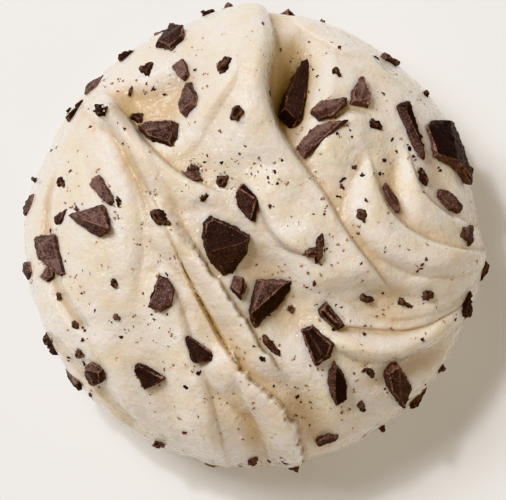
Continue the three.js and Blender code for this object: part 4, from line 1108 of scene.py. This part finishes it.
class GELATO_OT_specks(bpy.types.Operator):
    """Fine specks of chocolate over the skin, joined into one piece"""

    bl_idname = "gelato.specks"
    bl_label = "Specks"

    def execute(self, context):
        settings = context.scene.gelato_specks
        skin = Skin(context.scene.gelato_mound)
        chance = np.random.default_rng(SPECK_SEED)
        dark, tan = settings.dark_count, settings.tan_count
        count = dark + tan
        is_dark = np.arange(count) < dark
        crowded = CROWDED_REACH * np.sqrt(chance.random(count))
        spread = between((CROWDED_REACH, skin.length - FOOT_GAP), chance.random(count))
        down = np.where(chance.random(count) < CROWDED_SHARE, crowded, spread)
        bearing = 2 * np.pi * chance.random(count)
        x = down * np.cos(bearing)
        y = down * np.sin(bearing)
        for kind, apart in SPECK_NEIGHBOURS:
            near = np.flatnonzero(np.arange(count) % SPECK_GROUP == kind)
            x[near] = x[near - 1] + chance.normal(0, apart, len(near))
            y[near] = y[near - 1] + chance.normal(0, apart, len(near))
        size = between((settings.smallest, settings.largest), chance.random(count) ** 3)
        size[dark:] = chance.uniform(*TAN_RADIUS, tan)
        shade = DARK_SHADE * chance.random(count) ** 1.5
        shade[dark:] = chance.uniform(*TAN_SHADE, tan)
        origin, east, _, normal = skin.frames(x, y, np.full(count, SPECK_STEP))
        east = unit(east)
        north = np.cross(normal, east)
        turn = np.pi * chance.random(count)
        length = size * chance.uniform(1.0, 1.6, count)
        width = size * chance.uniform(0.6, 1.0, count)
        thick = width * np.where(is_dark, *SPECK_THICKNESS)
        first = np.cos(turn)[:, None] * east + np.sin(turn)[:, None] * north
        second = np.cos(turn)[:, None] * north - np.sin(turn)[:, None] * east
        directions, faces = globe_grid(SPECK_CELLS)
        places = directions[None] * 1.1 + 10 * np.arange(count)[:, None, None]
        uneven = 1 + 0.85 * lattice_noise(places, 0.8, 4)
        local = directions[None] * uneven[:, :, None]
        points = origin[:, None, :]
        for k, (way, reach) in enumerate([(first, length), (second, width), (normal, thick)]):
            points = points + local[:, :, k:k + 1] * (reach[:, None] * way)[:, None, :]
        all_faces = faces[None] + len(directions) * np.arange(count)[:, None, None]
        material = shared_material("cocoa_speck", speck_material, context.scene.chocolate_finish)
        new_piece("cocoa_specks", points.reshape(-1, 3), all_faces.reshape(-1, 4), material,
                  {"shade": np.repeat(shade, len(directions))})
        return {"FINISHED"}


class GELATO_OT_stage(bpy.types.Operator):
    """Pale floor, soft studio light and the camera straight above"""

    bl_idname = "gelato.stage"
    bl_label = "Stage"

    def execute(self, context):
        studio = context.scene.gelato_studio
        scene = context.scene
        floor = bpy.data.meshes.new("floor")
        corners = [(FLOOR_REACH * a, FLOOR_REACH * b, 0) for a, b in ((-1, -1), (1, -1), (1, 1), (-1, 1))]
        floor.from_pydata(corners, [], [(0, 1, 2, 3)])
        floor.materials.append(floor_material(studio.floor))
        ground = bpy.data.objects.new("floor", floor)
        scene.collection.objects.link(ground)
        for name, place, size, power, colour in LAMPS:
            lamp = bpy.data.lights.new(name, "AREA")
            lamp.size = size
            lamp.energy = power
            lamp.color = colour
            light = bpy.data.objects.new(name, lamp)
            light.location = place
            light.rotation_euler = (-light.location).to_track_quat("-Z", "Y").to_euler()
            scene.collection.objects.link(light)
        world = bpy.data.worlds.new("studio")
        world.use_nodes = True
        sky = world.node_tree.nodes["Background"].inputs
        sky["Color"].default_value = SKY_COLOUR
        sky["Strength"].default_value = SKY_STRENGTH
        scene.world = world
        scene.view_settings.view_transform = "Khronos PBR Neutral"
        add_camera(scene, studio, context.scene.gelato_mound)
        return {"FINISHED"}


def add_camera(scene, studio, sizes):
    """Camera straight above, with the picture's top to +Y. The round outline stands in
    the picture 11 pixels above its middle and half a pixel to the right."""
    picture_width = 506
    aside = -0.5
    above = 11
    pixel = studio.view_width / picture_width
    camera = bpy.data.cameras.new("from_above")
    camera.sensor_width = 36
    camera.sensor_fit = "HORIZONTAL"
    camera.lens = studio.lens
    camera.clip_end = 10
    distance = studio.view_width * studio.lens / camera.sensor_width
    eye = bpy.data.objects.new("from_above", camera)
    eye.location = (aside * pixel * METRE, -above * pixel * METRE, (sizes.waist + distance) * METRE)
    scene.collection.objects.link(eye)
    scene.camera = eye


class GELATO_PT_panel(bpy.types.Panel):
    """Lists the pieces of the gelato in the 3D view's sidebar"""

    bl_label = "Gelato"
    bl_idname = "GELATO_PT_panel"
    bl_space_type = "VIEW_3D"
    bl_region_type = "UI"
    bl_category = "Gelato"

    def draw(self, context):
        for operator in OPERATORS:
            self.layout.operator(operator.bl_idname)
        for settings in SETTINGS:
            group = getattr(context.scene, settings)
            for key in group.__annotations__:
                self.layout.prop(group, key)


OPERATORS = [
    GELATO_OT_mound,
    GELATO_OT_large_pieces,
    GELATO_OT_small_chips,
    GELATO_OT_specks,
    GELATO_OT_stage,
]
SETTINGS = {
    "gelato_mound": MoundSizes,
    "gelato_finish": GelatoFinish,
    "chocolate_finish": ChocolateFinish,
    "gelato_specks": SpeckSizes,
    "gelato_studio": StudioSettings,
}


def register():
    """Registers the settings, operators and panel, and hangs the settings on the scene."""
    for name, settings in SETTINGS.items():
        bpy.utils.register_class(settings)
        setattr(bpy.types.Scene, name, bpy.props.PointerProperty(type=settings))
    for operator in OPERATORS:
        bpy.utils.register_class(operator)
    bpy.utils.register_class(GELATO_PT_panel)


def unregister():
    """Takes the panel, operators and settings away again."""
    bpy.utils.unregister_class(GELATO_PT_panel)
    for operator in OPERATORS:
        bpy.utils.unregister_class(operator)
    for name, settings in SETTINGS.items():
        delattr(bpy.types.Scene, name)
        bpy.utils.unregister_class(settings)


def main():
    """Makes every piece and the stage."""
    register()
    bpy.ops.gelato.mound()
    bpy.ops.gelato.large_pieces()
    bpy.ops.gelato.small_chips()
    bpy.ops.gelato.specks()
    bpy.ops.gelato.stage()


if __name__ == "__main__":
    main()
